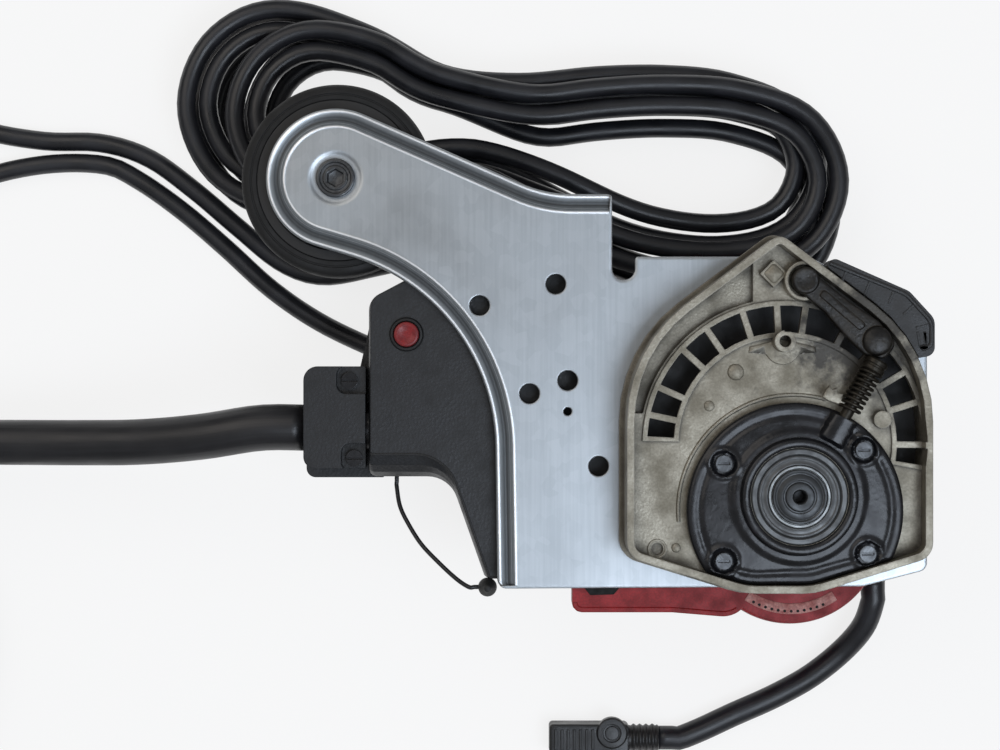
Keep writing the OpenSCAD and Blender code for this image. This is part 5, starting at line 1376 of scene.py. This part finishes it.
@dataclass
class CarrierPlate(Assembly):
    """Pressed sheet: flat panel with holes, and a beaded rim round the arm and beside the handle.

    rim_section is the distance from the edge and the height of each point of the beaded rim,
    holes are X, Y and radius, and dimple is radius and height of the rows under the arm's screw.
    """

    top: float = 95.0
    sheet: float = 2.0
    rim_width: float = 8.5
    edge_width: float = 1.2
    arm: Flat = (-191.5, 132.5)
    arm_radius: float = 29.5
    arm_normals: Flat = (66.3, 253.3)
    step_deg: float = 3.0
    bore_sides: int = 56
    holes: tuple[Point, ...] = ((-131, 79, 4.2), (-99, 88, 4.2), (-94, 47.5, 4.2), (-110, 42, 4.2),
                                (-81, 11.5, 4.2), (-94, 34.5, 1.7))
    rim_section: tuple[Flat, ...] = (
        (8.5, 93.0), (7.6, 92.0), (6.0, 90.4), (2.0, 90.2), (2.0, 87.0), (0.35, 87.0), (0.0, 87.35),
        (0.0, 92.1), (0.12, 92.75), (0.45, 93.25), (1.0, 93.5), (1.55, 93.45), (2.2, 93.15),
        (3.4, 92.45), (4.1, 92.1), (4.5, 92.05), (4.95, 92.3), (5.7, 93.0), (6.4, 93.75),
        (6.9, 94.4), (7.2, 94.85), (7.55, 95.12), (8.0, 95.15), (8.5, 95.0))
    dimple: tuple[Flat, ...] = ((12.0, 95.0), (11.4, 94.97), (10.8, 94.8), (10.2, 94.5),
                                (9.7, 94.4), (4.05, 94.38), (4.05, 93.0))

    def meet(self, normal: float, line: float, upright: bool) -> float:
        """Where the arm's tangent with this normal meets a line along an axis.

        Args:
            normal: the tangent's normal, in degrees.
            line: the line's X or Y.
            upright: whether the line is X = line, and otherwise it is Y = line.

        Returns:
            The other coordinate of the meeting point.
        """
        x, y = self.arm
        a = math.radians(normal)
        if upright:
            return y + (self.arm_radius - (line - x) * math.cos(a)) / math.sin(a)
        return x + (self.arm_radius - (line - y) * math.sin(a)) / math.cos(a)

    def arm_corner(self, before: float, after: float) -> Point:
        """Corner between two tangents of the arm's round end.

        Args:
            before: the first tangent's normal, in degrees.
            after: the second's.

        Returns:
            X, Y and radius.
        """
        out = self.arm_radius / math.cos(math.radians((after - before) / 2))
        a = math.radians((before + after) / 2)
        x, y = self.arm
        return x + out * math.cos(a), y + out * math.sin(a), self.arm_radius * 0.998

    def corners(self) -> list[Point]:
        """Corners of the outline, the last four round the arm and down beside the handle.

        Returns:
            X, Y and radius of each.
        """
        first, last = self.arm_normals
        middle = (first + last) / 2
        return [(-123.5, -40, 4), (30, -39, 12), (57, -32, 4), (57, 66, 10), (9, 99.5, 20),
                (-65.65, 99.5, 1.5), (-65.65, 89.7, 4.84), (-75.35, 89.7, 4.84), (-75.35, 126, 2),
                (self.meet(first, 126, False), 126, 55), self.arm_corner(first, middle),
                self.arm_corner(middle, last), (-125.5, self.meet(last, -125.5, True), 85)]

    def raised(self, outer: list[Point]) -> np.ndarray:
        """Where the rim is beaded: from half-way round corner 8 to half-way round corner 0.

        Args:
            outer: the outline's corners.

        Returns:
            True or False for each point of the rounded outline.
        """
        which, along = bends(np.array(outer)[:, :2], self.step_deg)[3:]
        return (which > 8) | ((which == 8) & (along > 0.5)) | ((which == 0) & (along < 0.5))

    def band(self) -> np.ndarray:
        """The sheet's edge and rim: each point of the outline carries one section.

        A section's point stands its share of the rim's width along the straight line from the
        outline to the same outline moved inwards. Where the rim isn't beaded, the section is the
        sheet's underside, its wall and a rounded upper edge.

        Returns:
            The grid of points: a row for each point of the section.
        """
        outer, e, n = self.corners(), self.edge_width, len(self.rim_section)
        widths = [e] * 8 + [self.rim_width] * 5
        o, i = rounded(outer, self.step_deg), rounded(inset(outer, widths), self.step_deg)
        rim, over = np.array(self.rim_section), np.linspace(0, 1, 9)
        t = np.concatenate([[e, e * 0.5, 0.3, 0.0], np.zeros(n - 13), np.linspace(0, e, 9)])
        z = self.top - np.concatenate([[self.sheet] * 3, [1.7], np.linspace(1.5, 0.4, n - 13),
                                       0.35 * (1 - over**0.5)])
        raised = self.raised(outer)[:, None]
        share = np.where(raised, rim[:, 0] / self.rim_width, t / e)
        flat = o[:, None] + share[..., None] * (i - o)[:, None]
        return np.concatenate(
            [flat, np.where(raised, rim[:, 1], z)[..., None]], -1).transpose(1, 0, 2)

    def build(self) -> None:
        """Makes the sheet: the band, the bores, and flat panels between them above and below."""
        top, low = self.top, self.top - self.sheet
        bores = [([(r + 0.45, top), (r + 0.15, top - 0.07), (r, top - 0.4), (r, low + 0.4),
                   (r + 0.3, low)], (x, y, 0)) for x, y, r in self.holes] + [
            (self.dimple, (*self.arm, 0))]
        grids = [self.band()] + [turned(rows, at, sides=self.bore_sides) for rows, at in bores]
        faces, loops, first = [], ([], []), 0
        for grid in grids:
            rows, columns = grid.shape[:2]
            faces += (grid_faces(rows, columns) + first).tolist()
            ends = (first + np.arange(columns), first + (rows - 1) * columns + np.arange(columns))
            for loop, end in zip(loops, ends if first else ends[::-1]):
                loop.append(end)
            first += rows * columns
        points = np.vstack([grid.reshape(-1, 3) for grid in grids])
        smooth = [True] * len(faces)
        for panel in loops:
            which = np.concatenate(panel)
            filled = tessellate_polygon([[tuple(p) for p in points[loop] * [1, 1, 0]]
                                         for loop in panel])
            faces += [[int(which[k]) for k in triangle] for triangle in filled]
            smooth += [False] * len(filled)
        self.shop.stand_for(new_piece("pressed_plate", mm(points), faces, smooth=smooth,
                                      sharp_deg=50), "carrier_plate")


# ---------------------------------------------------------------- bearing, cover and spindle


@dataclass
class SpindleEnd(Assembly):
    """Ball bearing with its seals, and the spindle that stands in it."""

    face: float = 123.0
    back: float = 111.0
    gear_from: float = 97.5
    gear_to: float = 107.5

    def build(self) -> None:
        """Makes the rings, the seals and the spindle as turned bodies."""
        lo, hi = self.back, self.face
        outer = turned([(16.85, lo + 0.1), (19.5, lo), (19.98, lo + 0.5), (19.98, hi - 0.7),
                        (19.3, hi), (17.6, hi), (17.2, hi - 0.35), (16.85, hi - 0.9)])
        inner = turned([(8.55, lo + 0.3), (8.9, lo), (12.6, lo), (12.95, lo + 0.4),
                        (12.95, hi - 0.5), (12.55, hi - 0.05), (11.75, hi - 0.05), (11.5, hi - 0.3),
                        (8.55, hi - 0.3)])
        seal = [(13.05, hi - 1.3), (13.05, hi - 0.75), (13.5, hi - 0.62), (14.1, hi - 0.95),
                (15.3, hi - 1.0), (15.7, hi - 0.72), (16.3, hi - 0.7), (16.75, hi - 0.95),
                (16.78, hi - 1.3)]
        seals = [turned(seal), turned([(r, lo + hi - h) for r, h in seal])]
        for name, grids, node, finish in (
                ("spindle_bearing_outer", [outer], "bearing_outer_ring", "greased_steel"),
                ("spindle_bearing_inner", [inner], "bearing_inner_ring", "rubbed_ring"),
                ("bearing_seals", seals, "bearing_seal", "greased_steel")):
            self.shop.stand_for(skin(name, grids, True), node, finish=finish)
        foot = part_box("spindle")[0][2] / MM
        shaft = [(3.2, foot), (3.5, foot + 0.3), (3.5, self.gear_from - 0.3),
                 (4.98, self.gear_from - 0.3), (4.98, self.gear_to), (9.6, self.gear_to),
                 (10, self.gear_to + 0.4), (10, lo), (8.48, lo), (8.48, hi), (11.3, hi + 0.02),
                 (11.3, hi + 0.9), (10.9, hi + 1.25), (10.3, hi + 1.3), (9.9, hi + 1.0),
                 (9.4, hi + 0.95), (9.0, hi + 1.25), (7.0, hi + 1.35), (6.6, hi + 1.05),
                 (6.1, hi + 1.05), (5.7, hi + 1.7), (5.2, hi + 1.85), (3.2, hi + 1.85),
                 (2.7, hi + 1.5), (2.5, hi + 1.0), (2.5, hi - 10)]
        self.shop.stand_for(skin("spindle_shaft", [turned(shaft, sides=72)]), "spindle")


@dataclass
class BearingCover(Assembly):
    """Enamelled cast cover: crowned plate, four sunk screw bosses, cup and the plunger's guide."""

    floor: float = 116.52
    plate: float = 2.6
    centre: Flat = (-1.3, -6.0)
    radius: float = 44.5
    crown: float = 1.5
    wall_gap: float = 3.3
    bore: float = 21.95
    cup_foot: float = 24.3
    cup: tuple[Flat, ...] = (
        (21.95, 123.05), (20.1, 123.05), (20.15, 123.4), (20.7, 124.0), (21.3, 124.2),
        (22.0, 124.25), (23.0, 124.2), (23.55, 123.85), (23.75, 123.1), (23.8, 122.2))
    bosses: tuple[Flat, ...] = ((-30.7, 13.5), (-30.7, -26.5), (26.7, 19), (28.3, -23.5))
    guide_deg: float = 60.0
    guide_from: float = 25.2
    guide_to: float = 41.0
    guide_top: float = 124.0
    sides: int = 264

    def reach(self, way: np.ndarray) -> np.ndarray:
        """How far the cover reaches from the spindle.

        It is the nearer of the cover's own circle and the case's inner wall. The wall is convex,
        so it is met where the direction's distance to one of its edge lines is least.

        Args:
            way: unit directions, one row of X and Y each.

        Returns:
            The reach in each direction.
        """
        tiny, far = 1e-6, 1e9
        c = np.array(self.centre)
        along = way @ c
        circle_reach = along + np.sqrt(along**2 + self.radius**2 - c @ c)
        wall = rounded(inset(GearCase.corners, self.wall_gap), 4.0)
        edge = np.roll(wall, -1, 0) - wall
        edge_length = np.linalg.norm(edge, axis=1)
        keep = edge_length > tiny
        normal = np.stack([edge[keep, 1], -edge[keep, 0]], 1) / edge_length[keep, None]
        off = (normal * wall[keep]).sum(1)
        facing = way @ normal.T
        wall_reach = np.where(facing > tiny, off / np.maximum(facing, tiny), far).min(1)
        return np.minimum(circle_reach, wall_reach)

    def level(self, x: np.ndarray, y: np.ndarray, reach: np.ndarray) -> np.ndarray:
        """Height of the upper side.

        The plate rises towards the cup by crown times (1 - share squared), where share is the
        distance from the spindle over the reach. A shallow ring lies sunk inside the edge, each
        boss is a low round rim with a sunk floor, and the guide is a block along its direction.

        Args:
            x: X of the points.
            y: Y of the points.
            reach: how far the cover reaches towards each point.

        Returns:
            The points' heights.
        """
        r = np.hypot(x, y)
        share = r / reach
        z = self.floor + self.plate + self.crown * (1 - share**2)
        z = z + 1.1 * ease((29.0 - r) / 3.0) - 0.5 * ease(1 - np.abs(reach - 5.0 - r) / 2.2)
        for bx, by in self.bosses:
            d = np.hypot(x - bx, y - by)
            z = z + 0.75 * ease((7.6 - d) / 1.6)
            z = np.where(
                d < 5.6, z + (self.floor + self.plate - 0.75 - z) * ease((5.4 - d) / 0.9), z)
        a = math.radians(self.guide_deg)
        along, across = x * math.cos(a) + y * math.sin(a), -x * math.sin(a) + y * math.cos(a)
        block = (ease((6.0 - np.abs(across)) / 1.4) * ease((along - self.guide_from) / 1.5)
                 * ease((self.guide_to - along) / 1.4))
        return z + np.maximum(0, self.guide_top - 0.04 * across**2 - z) * block

    def build(self) -> None:
        """Makes the cover as rings of points round the spindle's axis: cup, upper side, wall,
        underside and bore.
        """
        a = circle(self.sides)
        way = np.stack([np.cos(a), np.sin(a)], 1)
        reach = self.reach(way)
        rings: list[tuple[Any, Any]] = [*self.cup]
        for share in np.linspace(0, 1, 30) ** 0.95:
            r = self.cup_foot + share * (reach - 1.5 - self.cup_foot)
            rings.append((r, self.level(r * way[:, 0], r * way[:, 1], reach)))
        rim, low = self.floor + self.plate, self.floor - 3
        rings += [(reach - off, h) for off, h in (
            (0.8, rim - 0.15), (0.25, rim - 0.6), (0.02, rim - 1.4), (0.02, low), (2.0, low),
            (2.0, self.floor))]
        rings.append((self.bore, self.floor))
        r, h = (np.stack([np.broadcast_to(ring[k], self.sides) for ring in rings]) for k in (0, 1))
        grid = np.stack([r * way[None, :, 0], r * way[None, :, 1], h], -1)
        self.shop.stand_for(skin("cover_casting", [grid], True, 50), "bearing_cover")


@dataclass
class GearCase(Assembly):
    """Relief on the open casting: pads, rings and ribs that stand on its tray.

    A bump is X, Y and radius, how high it stands, the radius of its edge and its crown.
    """

    corners: tuple[Point, ...] = (
        (-70.5, -24.5, 8), (-22, -39.5, 30), (6, -39.5, 30), (54.5, -24.5, 8), (54.5, 60.5, 60),
        (-8, 107.5, 5), (-70.5, 60.5, 60))
    tray: float = 112.0
    post: Flat = (-5.8, 63.6)
    bumps: tuple[tuple[float, ...], ...] = (
        (-25.1, 51.0, 3.4, 1.0, 0.8, 0.5), (-36.0, 37.0, 2.2, 0.6, 0.5, 0.3),
        (-49.7, -21.6, 1.9, 0.9, 0.5, 0.2))
    lug: Flat = (-9.8, 91.5)
    lug_half: float = 4.8
    clip: tuple[Flat, ...] = (
        (9.5, 40.8), (12.0, 39.2), (15.5, 38.0), (18.4, 36.4), (19.4, 39.0), (17.6, 40.4),
        (18.2, 42.0), (16.0, 42.4), (15.6, 44.6), (13.6, 43.9), (12.6, 45.6), (11.0, 43.6))

    def build(self) -> None:
        """Makes the pads, the ribs and the clip beside the guide."""
        t, (x, y), (lug_x, lug_y), half = self.tray, self.post, self.lug, self.lug_half
        pad = np.vstack([arc((x, y - 2), 7.6, 180, 360)[:, :2],
                         [[x + 14, y - 4.5], [x + 13.5, y - 2.2], [x + 7, y - 0.6], [x, y + 1],
                          [x - 7, y - 0.6], [x - 13.5, y - 2.2], [x - 14, y - 4.5]]])
        pads = [pillow(pad, t - 1, t + 0.9, 0.5, 0.1)]
        pads += [pillow(disc(bump[:2], bump[2]), t - 1, t + bump[3], *bump[4:])
                 for bump in self.bumps]
        diamond = [(lug_x - half, lug_y, 1.5), (lug_x, lug_y - half, 1.5),
                   (lug_x + half, lug_y, 1.5), (lug_x, lug_y + half, 1.5)]
        pads.append(pillow(rounded(diamond), t - 1, t + 4.9, 1.0, 0.6))
        lines = [ridge(arc(SpindleLock.pivot, 7.4, 70, 300, t + 7.0),
                       [(0.85, -7.0), (0.85, 0.2), (0.5, 0.6)]),
                 ridge(arc((-1.3, -6), 47.6, 74, 186, t), [(0.9, -0.4), (0.7, 0.7), (0.3, 1.1)]),
                 ridge(arc((-57.5, -22.0), 3.6, 0, 360, t, 41), [(0.6, -0.4), (0.4, 0.7)])]
        clip = [pillow(np.array(self.clip), 117.6, 120.6, 0.5, 0.2)]
        for name, grids in (("case_pads", pads), ("case_ribs", lines), ("guide_clip", clip)):
            self.shop.place(skin(name, grids), "cast_metal")


@dataclass
class SpindleLock(Assembly):
    """Cast lever on its pivot, and the plunger with its spring."""

    pivot: Flat = (2.5, 88.5)
    lever_along: Flat = (62.5, -47.0)
    low: float = 116.8
    top: float = 123.8
    angle_deg: float = 60.0
    plunger_z: float = 120.0
    plunger_rows: tuple[Flat, ...] = (
        (2.0, 33), (2.6, 33.6), (2.6, 58.9), (4.4, 59.2), (5.0, 59.9), (5.0, 61.2), (4.5, 61.5),
        (4.5, 62.2), (5.0, 62.5), (5.0, 64.0), (4.3, 64.8))
    seat_at: float = 40.3
    head_at: float = 59.8
    spring_turns: float = 8.5
    spring_radius: float = 4.3
    wire: float = 0.75
    travel: float = 5.0

    def lever(self) -> list[np.ndarray]:
        """Bodies of the lever, drawn along its own length and turned into place.

        Returns:
            The grids of the arm, a rib on it, the pivot's disc and the thick end.
        """
        lean = math.atan2(self.lever_along[1], self.lever_along[0])
        turn = np.array([[math.cos(lean), math.sin(lean)], [-math.sin(lean), math.cos(lean)]])
        arm = rounded([(-4, -4.8, 3), (14, -5.6, 6), (27, -8.4, 6), (38, -9.6, 5), (45.5, -6.5, 4),
                       (45.5, 2, 4), (34, 4.8, 8), (20, 3.8, 8), (-4, 4.8, 3)])
        rib = rounded([(8, -1.8, 1.2), (30, -3.2, 1.2), (31, 0.2, 1.2), (8, 1.4, 1.2)])
        thick = (38.2, -2.2)
        grids = [pillow(arm, self.low, self.top - 1.2, 1.4, 0.4, (24, -1.2)),
                 pillow(rib, self.top - 2.5, self.top - 0.2, 0.8, 0.2),
                 pillow(disc((0, 0), 5.6, 355, 48), self.low, self.top, 1.2, -0.6, (0, 0)),
                 pillow(disc(thick, 6.2, 355, 48), self.low, self.top + 0.9, 2.2, 0.5, thick)]
        for grid in grids:
            grid[..., :2] = grid[..., :2] @ turn + self.pivot
        return grids

    def spring(self, base: np.ndarray, axis: np.ndarray) -> np.ndarray:
        """Round wire on a helix.

        The helix has the point seat + (R + r cos b) out + (r sin b) along at wire angle b, where
        out turns round the plunger's axis as the seat moves along it.

        Args:
            base: where the plunger's axis starts.
            axis: its direction.

        Returns:
            The grid of points.
        """
        wire, b = self.wire, circle(9)
        t = np.linspace(0, 1, int(self.spring_turns * 22))
        angle = 2 * np.pi * self.spring_turns * t
        side = np.array([-axis[1], axis[0], 0.0])
        out = np.cos(angle)[:, None] * side + np.sin(angle)[:, None] * np.array([0, 0, 1.0])
        run = self.seat_at + wire + (self.head_at - self.seat_at - 2 * wire) * t
        return (base + run[:, None, None] * axis
                + (self.spring_radius + wire * np.cos(b))[None, :, None] * out[:, None]
                + (wire * np.sin(b))[None, :, None] * axis)

    def build(self) -> None:
        """Makes the lever, the plunger and the spring, and gives the spring a mesh of its own."""
        a = math.radians(self.angle_deg)
        axis = np.array([math.cos(a), math.sin(a), 0.0])
        base = np.array([0, 0, self.plunger_z])
        self.shop.stand_for(skin("lever_casting", self.lever()), "lock_lever",
                            finish="oily_casting")
        pin = turned(self.plunger_rows, base, axis, 40)
        self.shop.stand_for(skin("plunger_pin", [pin]), "lock_plunger", finish="spring_steel")
        spring = self.shop.place(skin("plunger_spring", [self.spring(base, axis)], sharp_deg=180),
                                 "spring_steel", "lock_spring")
        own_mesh(spring)


# ---------------------------------------------------------------- handle, wheel, motor


@dataclass
class SwitchHandle(Assembly):
    """Details of the switch handle: seam, button, finger guard and the web below the plate."""

    corners: tuple[Point, ...] = (
        (-102, 78, 10), (-122, 97, 10), (-150, 97, 14), (-178.5, 82, 8), (-178.5, 6, 4),
        (-144, 6, 13), (-129, -36.5, 1.5), (-104, -36.5, 3))
    face_inset: tuple[float, ...] = (0.5, 0.5, 0.5, 1.2, 10.3, 2.2, 0.5, 0.5)
    web: tuple[Point, ...] = ((-114, 74, 4), (-92, 74, 4), (-90, 99, 4), (-108, 99, 4))
    top: float = 86.0
    button: Point = (-162, 67, 0)
    guard_mm: tuple[Point, ...] = (
        (-167, 6, 66), (-167, 4, 66), (-167, 1.5, 66), (-165.5, -7, 67), (-161.5, -15, 69),
        (-156, -23, 73), (-148.5, -30.5, 77), (-141, -37, 81), (-135.7, -40.2, 84),
        (-133.2, -40.2, 84), (-130.9, -40.2, 84))
    guard_radius: float = 0.95
    ball_rows: tuple[Flat, ...] = ((1.2, 79.3), (2.6, 80.0), (3.6, 81.5), (4.0, 83.5), (3.9, 86.0),
                                   (3.2, 88.6), (2.2, 90.2), (1.4, 91.9), (0.6, 92.3))

    def seam(self) -> np.ndarray:
        """Middle line of the parting seam: the face's outline below the button, from its upper
        left down and along to the right.

        Returns:
            Points 1 mm apart.
        """
        left, right, high, low = -170, -104, 60, 40
        face = rounded(inset(self.corners, self.face_inset), 4.0)
        line = lifted(face[(face[:, 0] < right) & (face[:, 1] < high)], self.top - 0.1)
        line = line[np.argsort(np.where(line[:, 0] < left, -1000 - line[:, 1], line[:, 0]))]
        return evenly(line[line[:, 1] < low], 1.0)

    def build(self) -> None:
        """Makes the seam, the button with its collar, the web, and the guard with its grommet."""
        t = self.top
        seam = ridge(self.seam(), [(0.55, -0.3), (0.5, 0.25), (0.2, 0.42)])
        self.shop.place(skin("handle_seam", [seam]), "gasket_rubber")
        key = turned([(6.7, t - 5), (6.7, t - 3.4), (5.28, t - 3.3), (5.28, t + 2.9),
                      (5.0, t + 3.4), (4.4, t + 3.65), (3.6, t + 3.6), (3.2, t + 3.35),
                      (1.0, t + 3.25), (0.4, t + 3.3)], self.button, sides=56)
        self.shop.stand_for(skin("button_key", [key]), "lock_button")
        collar = turned([(5.45, t - 1), (7.4, t - 1), (7.2, t + 0.8), (6.7, t + 1.7),
                         (5.9, t + 1.9), (5.45, t + 1.4)], self.button, sides=56)
        self.shop.place(skin("button_collar", [collar], True), "gasket_rubber")
        self.shop.place(skin("handle_web", [pillow(rounded(self.web), t - 6, t - 2.4, 0.6, 0.1)]),
                        "handle_plastic")
        wire = route(self.guard_mm, 8)
        self.shop.stand_for(skin("guard_wire", [tube(wire, self.guard_radius, 12)]), "wire_guard")
        self.shop.stand_for(
            skin("guard_ball", [turned(self.ball_rows, (-127.7, -40.2, 0), sides=40)]),
            "guard_grommet")


@dataclass
class GuideWheel(Assembly):
    """Tyre of the wheel under the arm, and the screw above it."""

    at: Point = (-191.5, 132.5, 0)
    low: float = 60.0
    width: float = 24.0
    radius: float = 41.0
    screw_seat: float = 94.42

    def build(self) -> None:
        """Makes the tyre and the screw as turned bodies.

        The radius of the screw's socket is scaled by cos 30 over the cosine of the angle from
        the nearest flat's middle, which makes a hexagon.
        """
        lo, hi, r, z = self.low, self.low + self.width, self.radius, self.screw_seat
        half = [(34.02, 12.0), (34.02, 0.5), (34.5, 0.0), (36.2, 0.0), (36.5, 0.35), (36.9, 0.35),
                (37.2, 0.0), (38.6, 0.15), (39.8, 0.9), (40.6, 2.0), (r, 3.6), (r, 6.4),
                (r - 0.9, 6.7), (r - 0.9, 7.4), (r, 7.7)]
        tyre = [(a, lo + h) for a, h in half] + [(a, hi - h) for a, h in half[:0:-1]]
        self.shop.stand_for(skin("tyre_tread", [turned(tyre, self.at, sides=120)], True),
                            "wheel_tyre")
        sides, flat = 72, np.pi / 3
        hexagon = math.cos(math.pi / 6) / np.cos((circle(sides) + np.pi / 6) % flat - np.pi / 6)
        rows = [(3.98, z - 14), (3.98, z), (8.15, z), (8.2, z + 0.3), (8.2, z + 1.9),
                (7.9, z + 2.4), (7.3, z + 2.6), (6.7, z + 2.45), (6.3, z + 1.9), (5.4, z + 1.8),
                (5.0, z + 2.3), (4.5, z + 2.4), (3.9, z + 2.2), (3.6, z + 1.5), (3.5, z - 0.6),
                (1.0, z - 1.0)]
        factor = np.ones((len(rows), sides))
        factor[-4:-1] = hexagon
        self.shop.stand_for(skin("arm_screw", [turned(rows, self.at, sides=sides, factor=factor)]),
                            "axle_screw")


@dataclass
class MotorTrim(Assembly):
    """Ribs, beads and vents on the red housing, lips on the baffle, and both strain reliefs."""

    centre: Flat = (0.0, -16.0)
    radius: float = 38.0
    lug: tuple[Point, ...] = ((-92, -50, 4), (-50, -50, 6), (-20, -52.5, 12), (-10, -20, 5),
                              (-20, 1, 8), (-92, 1, 4))
    pocket: tuple[Point, ...] = ((-88, -38.5, 0.8), (-71, -38.5, 0.8), (-74.5, -42.6, 1.0),
                                 (-84.5, -42.9, 1.0))
    deck: float = 93.0
    rib_from: float = 40.0
    rib_to: float = 76.0
    rib_height: float = 1.05
    ribs: int = 44
    lips_at: Flat = (33.5, 88.6)
    vents_radius: float = 33.6
    band_radius: float = 32.6
    baffle: tuple[Point, ...] = ((13, 99.5, 0.5), (47, 84.5, 6), (57.5, 73, 6), (57.5, 58, 3))
    baffle_top: float = 110.02

    def build(self) -> None:
        """Makes the trim: round the barrel, on its deck, on the baffle and at the cords."""
        self.build_barrel()
        self.build_deck()
        self.build_baffle()
        self.build_reliefs()

    def build_barrel(self) -> None:
        """Makes the ribbed band, whose radius is the barrel's less rib_height where a smooth comb
        of the angle is 0, and the two lips.
        """
        at, lo, hi, r = (*self.centre, 0), self.rib_from, self.rib_to, self.radius
        sides = self.ribs * 10
        comb = ease((np.cos(circle(sides) * self.ribs) + 0.35) / 0.9)
        rows = [(r - 0.6, lo), (r + 0.1, lo), (r + 1.0, lo + 1.2), (r + 1.2, lo + 2.5),
                (r + 1.2, hi - 2.5), (r + 1.0, hi - 1.2), (r + 0.1, hi), (r - 0.6, hi)]
        factor = np.ones((len(rows), sides))
        factor[2:6] = 1 - (1 - comb) * self.rib_height / r
        lips = [turned([(r - 0.5, h - 1.6), (r + 0.9, h - 1.3), (r + 1.3, h), (r + 0.9, h + 1.3),
                        (r - 0.5, h + 1.6)], at, sides=120) for h in self.lips_at]
        self.shop.place(skin("barrel_ribs", [turned(rows, at, sides=sides, factor=factor)], True),
                        "red_housing")
        self.shop.place(skin("barrel_lips", lips, True), "red_housing")

    def build_deck(self) -> None:
        """Makes the lug's bead, and the vents, the dusty band under them and the lug's pocket,
        which are thin skins on the deck; the vents and the pocket are near-black, painted shade.
        """
        (x, y), top = self.centre, self.deck
        outline = rounded(inset(self.lug, 1.1), 5.0)
        edge = outline[(outline[:, 1] < -30) & (outline[:, 0] < -22)]
        run = evenly(lifted(edge[np.argsort(edge[:, 0])], top - 0.4), 1.5)
        self.shop.place(skin("lug_bead", [ridge(run, [(1.3, -1.2), (1.2, 0.3), (0.6, 0.95)])]),
                        "red_housing")
        # vents: near-black discs, painted shade of the openings
        vent = [(0.2, top + 0.42), (0.62, top + 0.44), (0.66, top - 1), (0.2, top - 1.2)]
        out = self.vents_radius
        vents = [turned(vent, (x + out * math.cos(t), y + out * math.sin(t), 0), sides=20)
                 for t in np.radians(np.arange(-118, -62, 4.7))]
        self.shop.place(skin("housing_vent_shade", vents), "gasket_rubber", finish="painted_shade_black")
        band = ridge(arc((x, y), self.band_radius, -124, -56, top, 60),
                     [(2.4, -0.8), (2.2, 0.25), (1.6, 0.4)])
        self.shop.place(skin("housing_band", [band]), "red_housing", finish="dusty_red")
        # pocket: a near-black skin flush on the deck, painted shade of the recess
        pocket = pillow(rounded(self.pocket), top - 2, top + 0.04, 0.1, 0.0)
        self.shop.place(skin("lug_pocket_shade", [pocket]), "gasket_rubber", finish="painted_shade_black")

    def build_baffle(self) -> None:
        """Makes the lip and the short ribs on the air baffle's upper face."""
        edge = rounded(self.baffle)
        edge = edge[edge[:, 1] > 62]
        edge = edge[np.argsort(-edge[:, 1])]
        run = evenly(lifted(edge - [1.3, 1.3], self.baffle_top), 1.5)[2:]
        ribs = []
        for k in range(5, len(run) - 4, 7):
            along = unit(run[k + 1] - run[k - 1])
            inward = np.array([along[1], -along[0], 0.0])
            ribs.append(ridge(run[k] + np.linspace(0, 6.5, 8)[:, None] * inward,
                              [(0.6, -0.6), (0.5, 0.35)]))
        lip = ridge(run, [(1.0, -0.6), (0.9, 0.5), (0.4, 0.8)])
        self.shop.place(skin("baffle_lip", [lip]), "black_plastic")
        self.shop.place(skin("baffle_ribs", ribs), "black_plastic")

    def build_reliefs(self) -> None:
        """Makes both strain reliefs: a collar, then a taper with rings moulded round it.

        The rings are a smooth comb of 6.5 waves along the taper.
        """
        for name, node, base, axis, collar, tip in (
                ("mains_relief", "cord_gland", (8, 0, 10.5), (0, 1, 0), 8.0, 5.4),
                ("lead_relief", "lead_gland", (46, 0, 19), (0, -1, 0), 7.4, 6.4)):
            low, high = (corner[1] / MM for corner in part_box(node))
            start, end = (low, high) if axis[1] > 0 else (-high, -low)
            t = np.linspace(0, 1, 34)
            run = start + 5.5 + (end - start - 5.7) * t
            taper = collar - 1.2 + (tip - collar + 1.2) * t
            groove = ease((np.sin(t * 2 * np.pi * 6.5) + 0.4) / 0.8)
            rows = [(collar - 0.4, start + 0.1), (collar, start + 0.6), (collar, start + 4.6),
                    (collar - 0.5, start + 5.2),
                    *zip((taper - 0.9 + 0.9 * groove).tolist(), run.tolist()), (tip - 0.8, end)]
            self.shop.stand_for(skin(name, [turned(rows, base, axis, 40)]), node)


def main() -> None:
    """Builds the scene: camera and cords first, then every piece and finish."""
    logging.basicConfig(level=logging.INFO, format="%(message)s")
    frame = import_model()
    Studio().build()
    shop = Workshop(frame)
    shop.dress_nodes()
    for assembly in (MainsCord, FlexShaft, ControlLead, CarrierPlate, SpindleEnd, BearingCover,
                     GearCase, SpindleLock, SwitchHandle, GuideWheel, MotorTrim):
        assembly(shop).build()


if __name__ == "__main__":
    main()
